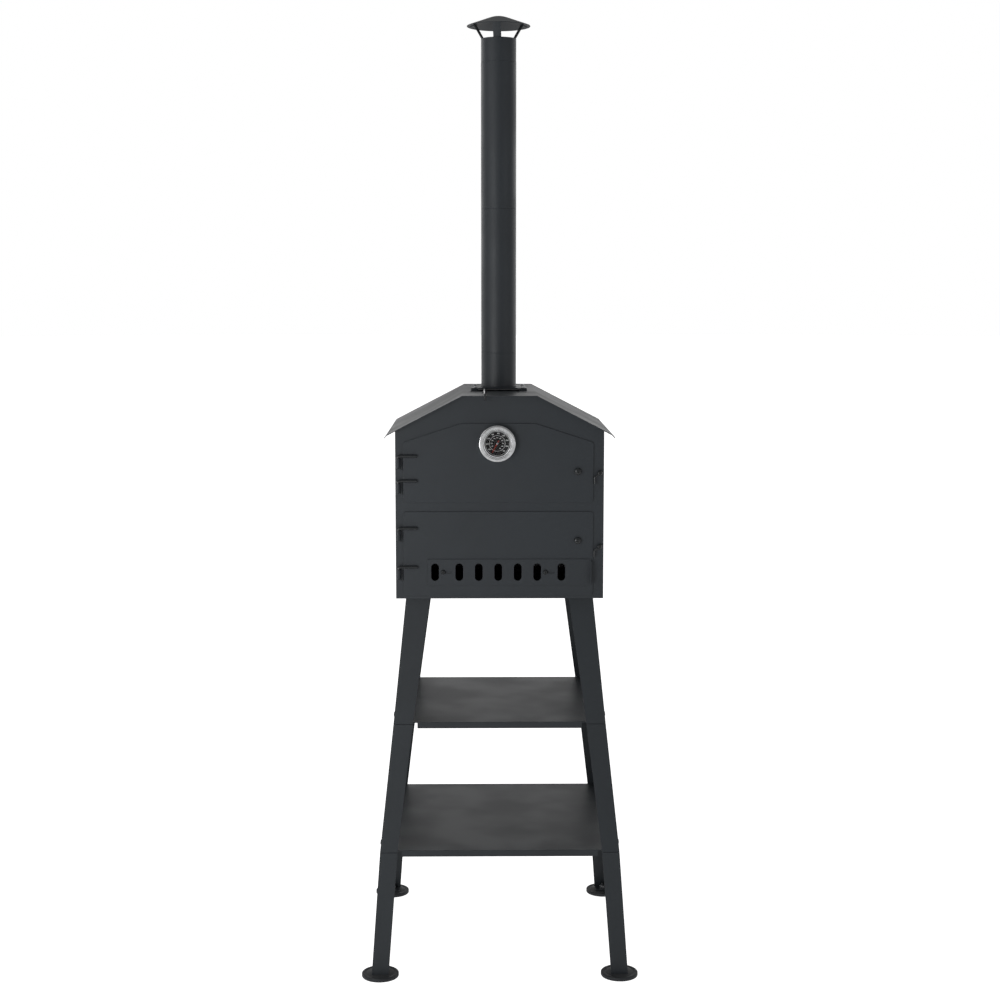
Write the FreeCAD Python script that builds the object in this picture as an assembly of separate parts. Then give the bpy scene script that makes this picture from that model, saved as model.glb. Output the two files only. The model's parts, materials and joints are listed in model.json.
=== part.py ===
import FreeCAD, Part
import math
import os
from FreeCAD import Vector

# Charcoal pizza oven on a splayed four-legged stand, with a tall flue and rain cap.
# Millimetres, +Z up, origin on the floor under the middle of the oven, front face towards -Y.

# ---- sheet and fits -------------------------------------------------------------------------
SHEET = 1.5             # sheet steel of the body, doors, legs and shelves
THIN = 1.0              # sheet of the flue, its cap and the ash pan
RUN_FIT = 0.08          # radial clearance of a turning pin in its bore
HOLE_FIT = 0.1          # radial clearance of a screw in its hole
SLIDE_GAP = 0.3         # clearance between faces that slide past each other

# ---- stand ----------------------------------------------------------------------------------
STAND_H = 637.5         # floor to underside of the oven body
LEG_SECTIONS = 3        # each leg is bolted up from this many lengths
LEG_IN_X = 15.5         # leg tops in from the sides of the body
LEG_IN_Y = 25.0         # and in from its front and back
LEG_SPLAY_X = (59.4, 44.3, 21.6, 0.0)    # outward reach of a leg, at the floor, joints and top
LEG_SPLAY_Y = (66.0, 50.4, 23.8, 0.0)
LEG_FACE_W = (28.4, 29.2, 32.4, 40.3)    # width of the flange that faces front or back
LEG_SIDE_W = (25.0, 28.0, 30.0, 32.0)    # width of the flange that faces left or right
LEG_GAP = 1.0           # open joint between one length and the next
LEG_LAP = 26.0          # splice inside the joint, reaching this far above and below it
LAP_TRIM = 1.0          # the splice is this much narrower on each flange

FOOT_D = 62.0           # round foot disc
FOOT_T = 6.5
FOOT_EDGE = 1.5         # chamfer round the top of the disc
FOOT_STUD_D = 6.0
FOOT_STUD_H = 11.0

SHELF_RISE = 2.4        # shelf surface above the leg joint that carries it
SHELF_LIP = 10.9        # depth of the folded front and back lips
SHELF_LIP_END = 7.0     # gap from the end of a lip to the leg
SHELF_TAB_H = 22.0      # upturned corner tab that is bolted to the leg
SHELF_TAB_W = 20.0
SHELF_CLEAR = 0.3       # gap between a shelf edge and the leg face

# ---- stand fasteners ------------------------------------------------------------------------
BOLT_D = 5.0
BOLT_HEAD_D = 9.0
BOLT_HEAD_H = 1.4
BOLT_END = 1.0          # thread showing past the nut
SCREW_CROWN = 0.4       # share of a head's height that is domed
SCREW_FLAT = 0.72       # share of a head's radius that is flat on top
NUT_AF = 8.0            # across flats
NUT_H = 4.0
FOOT_NUT_AF = 10.0
FOOT_NUT_H = 5.0
JOINT_BOLT_RISE = 13.0  # leg joint bolt above the joint
JOINT_BOLT_IN = 15.0    # and in from the outer corner of the leg

# ---- oven body ------------------------------------------------------------------------------
BODY_W = 342.0
BODY_D = 345.0
FLAT_MARGIN = 13.5      # flat top of the gable past the flue flange
ROOF_PITCH = 27.4       # slope of the roof, degrees
SIDE_FLANGE = 12.0      # inward flanges of the side panels

ROOF_T = 1.2
ROOF_OVERHANG_X = 13.5  # roof past the side panels, to the start of its turned edge
ROOF_OVERHANG_Y = 10.0
ROOF_LIP = 5.0          # turned edge along each eave
ROOF_LIP_PITCH = 54.0

# ---- doors ----------------------------------------------------------------------------------
DOOR_MARGIN_L = 12.6    # left side of the body to the hinge edge of the doors
DOOR_MARGIN_R = 17.4    # right side of the body to their free edge
DOOR_GAP = 0.5          # between the front frame and the back of a door
DOOR_SEAT = 9.0         # overlap of a door on its opening
DOOR_CORNER = 5.0
LOWER_DOOR_RISE = 5.5   # above the underside of the body
LOWER_DOOR_H = 139.0
DOORS_APART = 15.5
UPPER_DOOR_SIDE_H = 98.5
UPPER_DOOR_FLAT_W = 121.0
UPPER_DOOR_PITCH = 18.0
DOOR_SHOULDER = 18.5    # from the upper door's side corner to the eave

# ---- hinges: a bent rod on the door drops into a curled knuckle on the frame -------------------
HINGE_ROD_D = 5.0
HINGE_ROD_OUT = 8.5     # hinge axis to the door edge
HINGE_ROD_ON = 23.5     # length of rod on the face of the door
HINGE_ROD_DROP = 20.5
HINGE_BEND = 4.0
KNUCKLE_H = 15.0
KNUCKLE_WALL = 1.2
KNUCKLE_SHOULDER = 0.5  # gap from the bend of the rod to the knuckle
LANCE_W = 4.8           # window that the knuckle was bent out of
LANCE_H = 20.0
UPPER_HINGES = (35.7, 76.5)      # rods above the bottom of the upper door
LOWER_HINGES = (47.5, 112.0)     # rods above the bottom of the lower door

# ---- latches --------------------------------------------------------------------------------
LATCH_ROD_D = 3.2
LATCH_OUT = 10.5        # pivot to the door edge
LATCH_EYE_D = 8.6
LATCH_SCREW_D = 4.2
LATCH_HEAD_D = 8.4
LATCH_HEAD_H = 2.6
LATCH_REACH = 8.6       # pivot to the hanging arm, sideways
LATCH_SHOULDER = 7.0    # pivot down to the bend of the arm
LATCH_LENGTH = 18.0     # pivot down to the end of the arm
LATCH_BEND = 3.0
LATCH_START = 0.2       # the rod starts this share of the way from pivot to bend
UPPER_LATCH_RISE = 48.5
LOWER_LATCH_RISE = 81.5

# ---- door knobs -----------------------------------------------------------------------------
KNOB_D = 11.5
KNOB_H = 6.0
KNOB_NECK_D = 6.0
KNOB_NECK_H = 2.0
KNOB_IN = 25.5          # in from the free edge of the door
KNOB_RECESS = 1.2
KNOB_EDGE = 0.4         # shares of the crown's height and radius along its outline
KNOB_SHOULDER = 0.8
KNOB_FLAT = 0.4
KNOB_ARM = 0.5          # arm of the recess as a share of the radius
UPPER_KNOB_RISE = 51.0
LOWER_KNOB_RISE = 91.5

# ---- air vents and their slide --------------------------------------------------------------
VENT_W = 12.7
VENT_H = 28.9
VENT_RISE = 39.0        # vent centres above the bottom of the lower door
VENT_PITCH = 32.1
VENT_END_GAP = 39.8     # wider pitch that leaves room for a guide screw
DAMPER_T = 1.2
DAMPER_H = 43.0
DAMPER_END_L = 12.0     # plate past the centre of the end vent, left
DAMPER_TAB_IN = 2.9     # tab in from the free edge of the door
DAMPER_ROD_GAP = 3.4    # closed slide to the end of a hinge rod
DAMPER_TAB = 8.0        # turned-out tab at the right end
DAMPER_TAB_TRIM = 3.0   # tab shorter than the plate at the top and bottom
DAMPER_LAP = 0.4        # travel beyond one vent width
GUIDE_SCREW_D = 4.0
GUIDE_HEAD_D = 8.0
GUIDE_HEAD_H = 2.6

# ---- thermometer ----------------------------------------------------------------------------
GAUGE_X = -4.0
GAUGE_DROP = 32.0       # dial centre below the top of the upper door
BEZEL_D = 60.0
BEZEL_WALL = 2.8
BEZEL_EYE_D = 43.0      # clear opening of the bezel
BEZEL_LIP = 1.6
CASE_DEPTH = 9.0
CASE_WALL = 1.0
LENS_T = 1.2
DIAL_T = 0.8
DIAL_DEPTH = 4.0        # back of the dial above the face of the door
NEEDLE_L = 17.5
NEEDLE_TAIL = 6.0
NEEDLE_W = 2.2
NEEDLE_TIP = 0.25       # width of the tip as a share of the tail
NEEDLE_T = 0.6
NEEDLE_LIFT = 1.2       # needle above the dial
NEEDLE_HUB_D = 5.0
SPINDLE_D = 1.6
NEEDLE_REST = 210.0     # clockwise from straight up
STEM_D = 9.5            # threaded shank through the door
STEM_L = 12.0
PROBE_D = 6.0
PROBE_L = 48.0
GAUGE_NUT_AF = 17.0
GAUGE_NUT_H = 5.0

# ---- flue -----------------------------------------------------------------------------------
PIPE_D = 60.0
PIPE_LAP = 22.0         # reduced end inside the next pipe
PIPE_FIT = 0.1
FLUE_STUB_L = 58.5      # first short length, above its flange
PIPE_L = 244.0
COLLAR_L = 39.0
COLLAR_SLIM = 0.2       # the cap collar is this much smaller in radius than a pipe
CAP_OVERHANG = 23.5     # rim of the cap past the pipe
CAP_RISE = 21.4         # collar top to the rim of the cap
CAP_H = 19.0            # rim to the point where the cone would end
CAP_CROWN_R = 16.0      # rounding of the apex
CAP_EDGE = 1.0          # turned-down edge
STRAP_W = 13.5
STRAP_ANGLES = (-5.0, 110.0, 250.0)    # places of the straps round the flue from the front, degrees
STRAP_GRIP = 14.0       # strap inside the collar
STRAP_SPREAD = 0.8      # share of the cap radius where a strap meets the cap
STRAP_FOOT = 6.0

GUIDE_H = 3.5           # spacer under the flange, which guides the damper blade
GUIDE_RAIL = 12.3       # width of the spacer each side of the blade
BLADE_LIFT = 1.6
BLADE_LAP = 4.0         # blade past the back of the bore
BLADE_SIDE_LAP = 5.8    # and past its sides
BLADE_SIDE_GAP = 0.4
FLUE_ROD_D = 4.0
FLUE_ROD_X = -24.0
FLUE_ROD_CLEAR = 1.6    # rod to the front edge of the roof
FLUE_ROD_DROP = 9.5
FLUE_ROD_BEND = 3.5
FLANGE_SCREW_D = 4.0
FLANGE_HEAD_D = 7.0
FLANGE_HEAD_H = 2.0

# ---- inside the oven ------------------------------------------------------------------------
LEDGE_W = 22.0
LEDGE_H = 16.0
LEDGE_END = 8.0         # ledge ends short of the front and back flanges
STONE_BELOW_SILL = 7.0  # stone surface below the sill of the cooking door opening
STONE_T = 12.0
STONE_END_GAP = 20.5    # air space in front of and behind the stones
STONE_SIDE_GAP = 2.0
STONE_APART = 2.0
STONE_EDGE = 1.5        # chamfer of every stone edge
GRATE_ABOVE_VENTS = 17.0
GRATE_BAR_D = 5.0
GRATE_PITCH = 19.0
GRATE_END_GAP = 19.0
GRATE_SIDE_GAP = 2.5
GRATE_RUNNER_X = 90.0
GRATE_SINK = 1.0        # weld depth of a bar in a runner
PAN_BOLT_GAP = 8.0      # pan to the heads of the leg bolts
PAN_END_GAP = 26.0
PAN_H = 16.0
PAN_RIM = 7.0

# ---- derived places -------------------------------------------------------------------------
SECTION_H = STAND_H / LEG_SECTIONS
BORE_R = PIPE_D / 2 - THIN
CAP_D = PIPE_D + 2 * CAP_OVERHANG
BLADE_W = 2 * (BORE_R + BLADE_SIDE_LAP)
FLANGE_W = BLADE_W + 2 * (BLADE_SIDE_GAP + GUIDE_RAIL)
FLAT_W = FLANGE_W + 2 * FLAT_MARGIN
HALF_W = BODY_W / 2
HALF_D = BODY_D / 2
FRONT = -HALF_D
LEG_X = tuple(HALF_W - LEG_IN_X + splay for splay in LEG_SPLAY_X)
LEG_Y = tuple(HALF_D - LEG_IN_Y + splay for splay in LEG_SPLAY_Y)
INNER_END = HALF_D - 2 * SHEET      # room inside, clear of the side panels' flanges
SIDE_H = LOWER_DOOR_RISE + LOWER_DOOR_H + DOORS_APART + UPPER_DOOR_SIDE_H + DOOR_SHOULDER
ROOF_TAN = math.tan(math.radians(ROOF_PITCH))
SIDE_TOP = STAND_H + SIDE_H
BODY_TOP = SIDE_TOP + (HALF_W - FLAT_W / 2) * ROOF_TAN
ROOF_TOP = BODY_TOP + ROOF_T
ROOF_FRONT = FRONT - ROOF_OVERHANG_Y

DOOR_BACK = FRONT - DOOR_GAP
DOOR_FACE = DOOR_BACK - SHEET
DOOR_L = DOOR_MARGIN_L - HALF_W
DOOR_R = HALF_W - DOOR_MARGIN_R
DOOR_X = (DOOR_L + DOOR_R) / 2
LOWER_DOOR_Z = STAND_H + LOWER_DOOR_RISE
UPPER_DOOR_Z = LOWER_DOOR_Z + LOWER_DOOR_H + DOORS_APART
UPPER_DOOR_SIDE = UPPER_DOOR_Z + UPPER_DOOR_SIDE_H
UPPER_DOOR_RUN = (DOOR_R - DOOR_L - UPPER_DOOR_FLAT_W) / 2
UPPER_DOOR_TOP = UPPER_DOOR_SIDE + UPPER_DOOR_RUN * math.tan(math.radians(UPPER_DOOR_PITCH))

HINGE_R = HINGE_ROD_D / 2
HINGE_X = DOOR_L - HINGE_ROD_OUT
HINGE_Y = DOOR_FACE - HINGE_R
KNUCKLE_R = HINGE_R + RUN_FIT + KNUCKLE_WALL

LATCH_X = DOOR_R + LATCH_OUT
LATCH_Y = DOOR_FACE - SLIDE_GAP * 2 - LATCH_ROD_D / 2
LATCH_BORE_R = LATCH_SCREW_D / 2 + RUN_FIT

VENT_Z = LOWER_DOOR_Z + VENT_RISE
DAMPER_TRAVEL = VENT_W + DAMPER_LAP
END_VENT_ROOM = DOOR_X - DOOR_L - HINGE_ROD_ON - DAMPER_ROD_GAP - DAMPER_TRAVEL - DAMPER_END_L
SIDE_VENTS = round((END_VENT_ROOM - VENT_END_GAP) // VENT_PITCH)
INNER_VENT = SIDE_VENTS * VENT_PITCH
VENT_ROW = (
    [-INNER_VENT - VENT_END_GAP]
    + [i * VENT_PITCH for i in range(-SIDE_VENTS, SIDE_VENTS + 1)]
    + [INNER_VENT + VENT_END_GAP]
)
DAMPER_BACK = DOOR_FACE - SLIDE_GAP
DAMPER_FACE = DAMPER_BACK - DAMPER_T
GUIDE_X = INNER_VENT + VENT_END_GAP / 2

GAUGE_Z = UPPER_DOOR_TOP - GAUGE_DROP
BEZEL_R = BEZEL_D / 2
CASE_R = BEZEL_R - BEZEL_WALL
LENS_R = CASE_R - CASE_WALL / 2
DIAL_R = CASE_R - CASE_WALL - HOLE_FIT

PIPE_R = PIPE_D / 2
SPIGOT_R = PIPE_R - THIN - PIPE_FIT
GUIDE_TOP = ROOF_TOP + GUIDE_H
FLANGE_TOP = GUIDE_TOP + SHEET
FLUE_STUB_TOP = FLANGE_TOP + FLUE_STUB_L
LOWER_PIPE_TOP = FLUE_STUB_TOP + PIPE_L
UPPER_PIPE_TOP = LOWER_PIPE_TOP + PIPE_L
COLLAR_TOP = UPPER_PIPE_TOP + COLLAR_L
CAP_RIM = COLLAR_TOP + CAP_RISE
BLADE_BACK = BORE_R + BLADE_LAP
FLUE_TRAVEL = BLADE_BACK + BORE_R

STONE_TOP = UPPER_DOOR_Z + DOOR_SEAT - STONE_BELOW_SILL
STONE_LEVEL = STONE_TOP - STONE_T
STONE_DEPTH = INNER_END - STONE_END_GAP - STONE_APART / 2
GRATE_LEVEL = VENT_Z + VENT_H / 2 + GRATE_ABOVE_VENTS


# ---- shape helpers --------------------------------------------------------------------------
def box(x0, x1, y0, y1, z0, z1):
    return Part.makeBox(x1 - x0, y1 - y0, z1 - z0, Vector(x0, y0, z0))


def rod_along(axis, radius, start, length):
    return Part.makeCylinder(radius, length, Vector(*start), Vector(*axis))


def disc_out(radius, x, z, y_from, depth, inner=0.0):
    """A disc or ring that stands out of a front face, towards -Y."""
    solid = rod_along((0, -1, 0), radius, (x, y_from, z), depth)
    if inner > 0:
        solid = solid.cut(rod_along((0, -1, 0), inner, (x, y_from, z), depth))
    return solid


def plate_xz(points, y0, y1):
    """A plate with an outline in X and Z, between two Y planes."""
    corners = [Vector(x, y0, z) for x, z in points]
    face = Part.Face(Part.makePolygon(corners + corners[:1]))
    return face.extrude(Vector(0, y1 - y0, 0))


def turned(points, x=0.0, y=0.0):
    """A solid turned about a vertical line, from points of radius and height."""
    corners = [Vector(x + radius, y, z) for radius, z in points]
    face = Part.Face(Part.makePolygon(corners + corners[:1]))
    return face.revolve(Vector(x, y, 0), Vector(0, 0, 1), 360)


def round_edges_along_y(solid, radius):
    """Round the corners of a plate's outline."""
    picked = []
    for edge in solid.Edges:
        first, last = edge.Vertexes[0].Point, edge.Vertexes[-1].Point
        run = last - first
        if abs(run.x) < 1e-6 and abs(run.z) < 1e-6:
            picked.append(edge)
    return solid.makeFillet(radius, picked)


def line_meet(point_a, dir_a, point_b, dir_b):
    """Where two lines in a plane meet."""
    cross = dir_a[0] * dir_b[1] - dir_a[1] * dir_b[0]
    dx, dz = point_b[0] - point_a[0], point_b[1] - point_a[1]
    along = (dx * dir_b[1] - dz * dir_b[0]) / cross
    return (point_a[0] + along * dir_a[0], point_a[1] + along * dir_a[1])


def shifted_line(start, end, distance):
    """The line from start to end, moved to its left."""
    dx, dz = end[0] - start[0], end[1] - start[1]
    length = math.hypot(dx, dz)
    unit = (dx / length, dz / length)
    return (start[0] - unit[1] * distance, start[1] + unit[0] * distance), unit


def inset(points, distance):
    """An anticlockwise outline moved inwards all round."""
    count = len(points)
    result = []
    for i in range(count):
        before, unit_before = shifted_line(points[i - 1], points[i], distance)
        after, unit_after = shifted_line(points[i], points[(i + 1) % count], distance)
        result.append(line_meet(before, unit_before, after, unit_after))
    return result


def bent_strip(points, thickness):
    """Outline of a bent sheet whose lower face runs through the points, left to right."""
    upper = []
    last = len(points) - 1
    for i in range(last + 1):
        if i == 0:
            upper.append(shifted_line(points[0], points[1], thickness)[0])
        elif i == last:
            base, unit = shifted_line(points[last - 1], points[last], thickness)
            length = math.hypot(points[last][0] - points[last - 1][0], points[last][1] - points[last - 1][1])
            upper.append((base[0] + unit[0] * length, base[1] + unit[1] * length))
        else:
            before, unit_before = shifted_line(points[i - 1], points[i], thickness)
            after, unit_after = shifted_line(points[i], points[i + 1], thickness)
            upper.append(line_meet(before, unit_before, after, unit_after))
    return list(points) + upper[::-1]


def bent_rod(points, bend, radius):
    """A round rod along straight runs joined by tangent arcs."""
    corners = [Vector(*point) for point in points]
    edges = []
    start = corners[0]
    for i in range(1, len(corners) - 1):
        inward = (corners[i - 1] - corners[i]).normalize()
        outward = (corners[i + 1] - corners[i]).normalize()
        half_angle = inward.getAngle(outward) / 2
        setback = bend / math.tan(half_angle)
        arc_start = corners[i] + inward * setback
        arc_end = corners[i] + outward * setback
        middle_dir = (inward + outward).normalize()
        arc_mid = corners[i] + middle_dir * (bend / math.sin(half_angle) - bend)
        edges.append(Part.LineSegment(start, arc_start).toShape())
        edges.append(Part.Arc(arc_start, arc_mid, arc_end).toShape())
        start = arc_end
    edges.append(Part.LineSegment(start, corners[-1]).toShape())
    path = Part.Wire(edges)
    circle = Part.Circle(corners[0], (corners[1] - corners[0]).normalize(), radius)
    return path.makePipeShell([Part.Wire([circle.toShape()])], True, False)


def obround(cx, cz, width, height, y0, y1):
    """A round-ended bar along Y, for cutting slots; longer in X or in Z."""
    radius = min(width, height) / 2
    half_x, half_z = width / 2 - radius, height / 2 - radius
    depth = y1 - y0
    ends = [(cx - half_x, cz - half_z), (cx + half_x, cz + half_z)]
    solid = rod_along((0, 1, 0), radius, (ends[0][0], y0, ends[0][1]), depth)
    solid = solid.fuse(rod_along((0, 1, 0), radius, (ends[1][0], y0, ends[1][1]), depth))
    if half_x > half_z:
        middle = box(cx - half_x, cx + half_x, y0, y1, cz - radius, cz + radius)
    else:
        middle = box(cx - radius, cx + radius, y0, y1, cz - half_z, cz + half_z)
    return solid.fuse(middle).removeSplitter()


def hex_bar(across_flats, length):
    """A hexagonal bar along +Z from the origin."""
    corner_r = across_flats / math.sqrt(3)
    corners = []
    for i in range(6):
        angle = math.radians(60 * i)
        corners.append(Vector(corner_r * math.cos(angle), corner_r * math.sin(angle), 0))
    return Part.Face(Part.makePolygon(corners + corners[:1])).extrude(Vector(0, 0, length))


def aimed(solid, position, direction):
    """Turn a solid built along +Z to point along a direction, and set it in place."""
    placed = solid.copy()
    placed.Placement = FreeCAD.Placement(
        Vector(*position), FreeCAD.Rotation(Vector(0, 0, 1), Vector(*direction)))
    return placed


def screw(shank_d, shank_l, head_d, head_h):
    """A pan-head screw along +Z: shank below the origin plane, domed head above it."""
    head_r = head_d / 2
    crown = head_h * SCREW_CROWN
    outline = [
        (0, -shank_l),
        (shank_d / 2, -shank_l),
        (shank_d / 2, 0),
        (head_r, 0),
        (head_r, head_h - crown),
        (head_r * SCREW_FLAT, head_h),
        (0, head_h),
    ]
    return turned(outline)


def nut(across_flats, height, bore_d):
    """A plain hexagonal nut along +Z from the origin."""
    bore = rod_along((0, 0, 1), bore_d / 2, (0, 0, 0), height)
    return hex_bar(across_flats, height).cut(bore)


def group(solids):
    return Part.makeCompound(solids)


# ---- legs and stand -------------------------------------------------------------------------
def leg_at(values, z):
    """A leg size at a height, from its values at the floor and at each joint."""
    place = min(max(z / SECTION_H, 0.0), LEG_SECTIONS - 1e-9)
    index = int(place)
    share = place - index
    if z >= STAND_H:
        return values[LEG_SECTIONS]
    return values[index] + share * (values[index + 1] - values[index])


def angle_wire(z, away, trim, sx, sy):
    """Section of an angle at a height, its outer corner moved in by a distance."""
    x = leg_at(LEG_X, z) - away
    y = leg_at(LEG_Y, z) - away
    x_in = x - leg_at(LEG_FACE_W, z) + trim
    y_in = y - leg_at(LEG_SIDE_W, z) + trim
    outline = [(x, y), (x_in, y), (x_in, y - SHEET), (x - SHEET, y - SHEET), (x - SHEET, y_in), (x, y_in)]
    corners = [Vector(sx * px, sy * py, z) for px, py in outline]
    return Part.makePolygon(corners + corners[:1])


def angle_length(z0, z1, away, trim, sx, sy):
    wires = [angle_wire(z0, away, trim, sx, sy), angle_wire(z1, away, trim, sx, sy)]
    return Part.makeLoft(wires, True, True)


def corner_plate(z0, z1, z_ref, sx, sy):
    """A level plate that fills the corner of an angle."""
    x = leg_at(LEG_X, z_ref)
    y = leg_at(LEG_Y, z_ref)
    xs = sorted((sx * (x - SHEET / 2), sx * (x - leg_at(LEG_FACE_W, z_ref))))
    ys = sorted((sy * (y - SHEET / 2), sy * (y - leg_at(LEG_SIDE_W, z_ref))))
    return box(xs[0], xs[1], ys[0], ys[1], z0, z1)


def joint_bolt_place(joint, sx, sy):
    """Where a joint bolt meets the outer face of a leg, and the way out of it."""
    z = joint * SECTION_H + JOINT_BOLT_RISE
    slope = (leg_at(LEG_X, z) - leg_at(LEG_X, z + 1.0))
    x = leg_at(LEG_X, z)
    y = leg_at(LEG_Y, z) - JOINT_BOLT_IN
    length = math.hypot(1.0, slope)
    return (sx * x, sy * y, z), (sx / length, 0.0, slope / length)


def joint_bolt_hole(joint, sx, sy):
    """Cutter for the hole of a joint bolt through every layer."""
    place, out = joint_bolt_place(joint, sx, sy)
    reach = 4 * SHEET
    start = [place[i] + out[i] * SHEET for i in range(3)]
    bar = rod_along((0, 0, 1), BOLT_D / 2 + HOLE_FIT, (0, 0, 0), reach + SHEET)
    return aimed(bar, start, [-value for value in out])


def top_bolt_place(sx, sy):
    x = LEG_X[-1] - LEG_FACE_W[-1] / 2
    y = LEG_Y[-1] - LEG_SIDE_W[-1] / 2
    return sx * x, sy * y


def foot_place(sx, sy):
    x = LEG_X[0] - LEG_FACE_W[0] / 2
    y = LEG_Y[0] - LEG_SIDE_W[0] / 2
    return sx * x, sy * y


def leg_section(level, sx, sy):
    """One length of a leg; all but the top one end in a splice that enters the next."""
    z0 = level * SECTION_H if level > 0 else FOOT_T
    z1 = (level + 1) * SECTION_H
    if level < LEG_SECTIONS - 1:
        trim = SHEET + LAP_TRIM
        solid = angle_length(z0, z1 - LEG_GAP, 0.0, 0.0, sx, sy)
        solid = solid.fuse(angle_length(z1 - LEG_LAP, z1, SHEET, trim, sx, sy))
        solid = solid.fuse(angle_length(z1, z1 + LEG_LAP, SHEET, trim, sx, sy))
        solid = solid.cut(joint_bolt_hole(level + 1, sx, sy))
    else:
        solid = angle_length(z0, z1, 0.0, 0.0, sx, sy)
        solid = solid.fuse(corner_plate(z1 - SHEET, z1, z1, sx, sy))
        px, py = top_bolt_place(sx, sy)
        solid = solid.cut(rod_along((0, 0, 1), BOLT_D / 2 + HOLE_FIT, (px, py, z1 - 2 * SHEET), 4 * SHEET))
    if level > 0:
        solid = solid.cut(joint_bolt_hole(level, sx, sy))
    else:
        solid = solid.fuse(corner_plate(z0, z0 + SHEET, 0.0, sx, sy))
        px, py = foot_place(sx, sy)
        solid = solid.cut(rod_along((0, 0, 1), FOOT_STUD_D / 2 + HOLE_FIT, (px, py, z0 - SHEET), 4 * SHEET))
    return solid.removeSplitter()


def foot(sx, sy):
    px, py = foot_place(sx, sy)
    radius = FOOT_D / 2
    outline = [
        (0, 0),
        (radius, 0),
        (radius, FOOT_T - FOOT_EDGE),
        (radius - FOOT_EDGE, FOOT_T),
        (FOOT_STUD_D / 2, FOOT_T),
        (FOOT_STUD_D / 2, FOOT_T + FOOT_STUD_H),
        (0, FOOT_T + FOOT_STUD_H),
    ]
    return turned(outline, px, py)


def corners4():
    return [("front_left", -1, -1), ("front_right", 1, -1), ("back_left", -1, 1), ("back_right", 1, 1)]


def stand_bolts():
    solids = []
    joint_grip = 3 * SHEET
    floor_grip = 2 * SHEET
    for _, sx, sy in corners4():
        for joint in range(1, LEG_SECTIONS):
            place, out = joint_bolt_place(joint, sx, sy)
            bolt = screw(BOLT_D, joint_grip + NUT_H + BOLT_END, BOLT_HEAD_D, BOLT_HEAD_H)
            solids.append(aimed(bolt, place, out))
        px, py = top_bolt_place(sx, sy)
        bolt = screw(BOLT_D, floor_grip + NUT_H + BOLT_END, BOLT_HEAD_D, BOLT_HEAD_H)
        solids.append(aimed(bolt, (px, py, STAND_H + SHEET), (0, 0, 1)))
    return group(solids)


def stand_nuts():
    solids = []
    plain_nut = nut(NUT_AF, NUT_H, BOLT_D)
    for _, sx, sy in corners4():
        for joint in range(1, LEG_SECTIONS):
            place, out = joint_bolt_place(joint, sx, sy)
            grip = 3 * SHEET * out[0] * sx
            inside = [place[i] - out[i] * grip for i in range(3)]
            solids.append(aimed(plain_nut, inside, [-value for value in out]))
        px, py = top_bolt_place(sx, sy)
        solids.append(aimed(plain_nut, (px, py, STAND_H - SHEET), (0, 0, -1)))
    return group(solids)


def foot_nuts():
    solids = []
    for _, sx, sy in corners4():
        px, py = foot_place(sx, sy)
        solids.append(aimed(nut(FOOT_NUT_AF, FOOT_NUT_H, FOOT_STUD_D), (px, py, FOOT_T + SHEET), (0, 0, 1)))
    return group(solids)


def shelf_tab(z0, sx, sy):
    """Upturned corner tab that lies against the inside of the leg."""
    layers = 2 * SHEET
    z1 = z0 + SHELF_TAB_H
    wires = []
    for z in (z0, z1):
        x = leg_at(LEG_X, z) - layers
        y = leg_at(LEG_Y, z0) - JOINT_BOLT_IN
        ys = (y - SHELF_TAB_W / 2, y + SHELF_TAB_W / 2)
        outline = [(x, ys[0]), (x, ys[1]), (x - SHEET, ys[1]), (x - SHEET, ys[0])]
        corners = [Vector(sx * px, sy * py, z) for px, py in outline]
        wires.append(Part.makePolygon(corners + corners[:1]))
    return Part.makeLoft(wires, True, True)


def shelf(joint):
    z_top = joint * SECTION_H + SHELF_RISE
    z_low = z_top - SHEET
    layers = 2 * SHEET
    half_x = leg_at(LEG_X, z_top) - layers - SHELF_CLEAR
    half_y = leg_at(LEG_Y, z_top) - layers - SHELF_CLEAR
    lip_x = leg_at(LEG_X, z_top) - leg_at(LEG_FACE_W, z_top) - SHELF_LIP_END
    solid = box(-half_x, half_x, -half_y, half_y, z_low, z_top)
    for side in (-1, 1):
        ys = sorted((side * half_y, side * (half_y - SHEET)))
        solid = solid.fuse(box(-lip_x, lip_x, ys[0], ys[1], z_top - SHELF_LIP, z_low))
    for _, sx, sy in corners4():
        solid = solid.fuse(shelf_tab(joint * SECTION_H, sx, sy))
        solid = solid.cut(joint_bolt_hole(joint, sx, sy))
    return solid.removeSplitter()


# ---- oven body ------------------------------------------------------------------------------
def gable():
    """Outline of the body seen from the front, anticlockwise from the bottom left."""
    flat = FLAT_W / 2
    return [
        (-HALF_W, STAND_H),
        (HALF_W, STAND_H),
        (HALF_W, SIDE_TOP),
        (flat, BODY_TOP),
        (-flat, BODY_TOP),
        (-HALF_W, SIDE_TOP),
    ]


def upper_door_outline():
    flat = UPPER_DOOR_FLAT_W / 2
    return [
        (DOOR_L, UPPER_DOOR_Z),
        (DOOR_R, UPPER_DOOR_Z),
        (DOOR_R, UPPER_DOOR_SIDE),
        (DOOR_X + flat, UPPER_DOOR_TOP),
        (DOOR_X - flat, UPPER_DOOR_TOP),
        (DOOR_L, UPPER_DOOR_SIDE),
    ]


def lower_door_outline():
    top = LOWER_DOOR_Z + LOWER_DOOR_H
    return [(DOOR_L, LOWER_DOOR_Z), (DOOR_R, LOWER_DOOR_Z), (DOOR_R, top), (DOOR_L, top)]


def hinge_heights():
    upper = [UPPER_DOOR_Z + rise for rise in UPPER_HINGES]
    lower = [LOWER_DOOR_Z + rise for rise in LOWER_HINGES]
    return upper, lower


def latch_heights():
    return UPPER_DOOR_Z + UPPER_LATCH_RISE, LOWER_DOOR_Z + LOWER_LATCH_RISE


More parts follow.
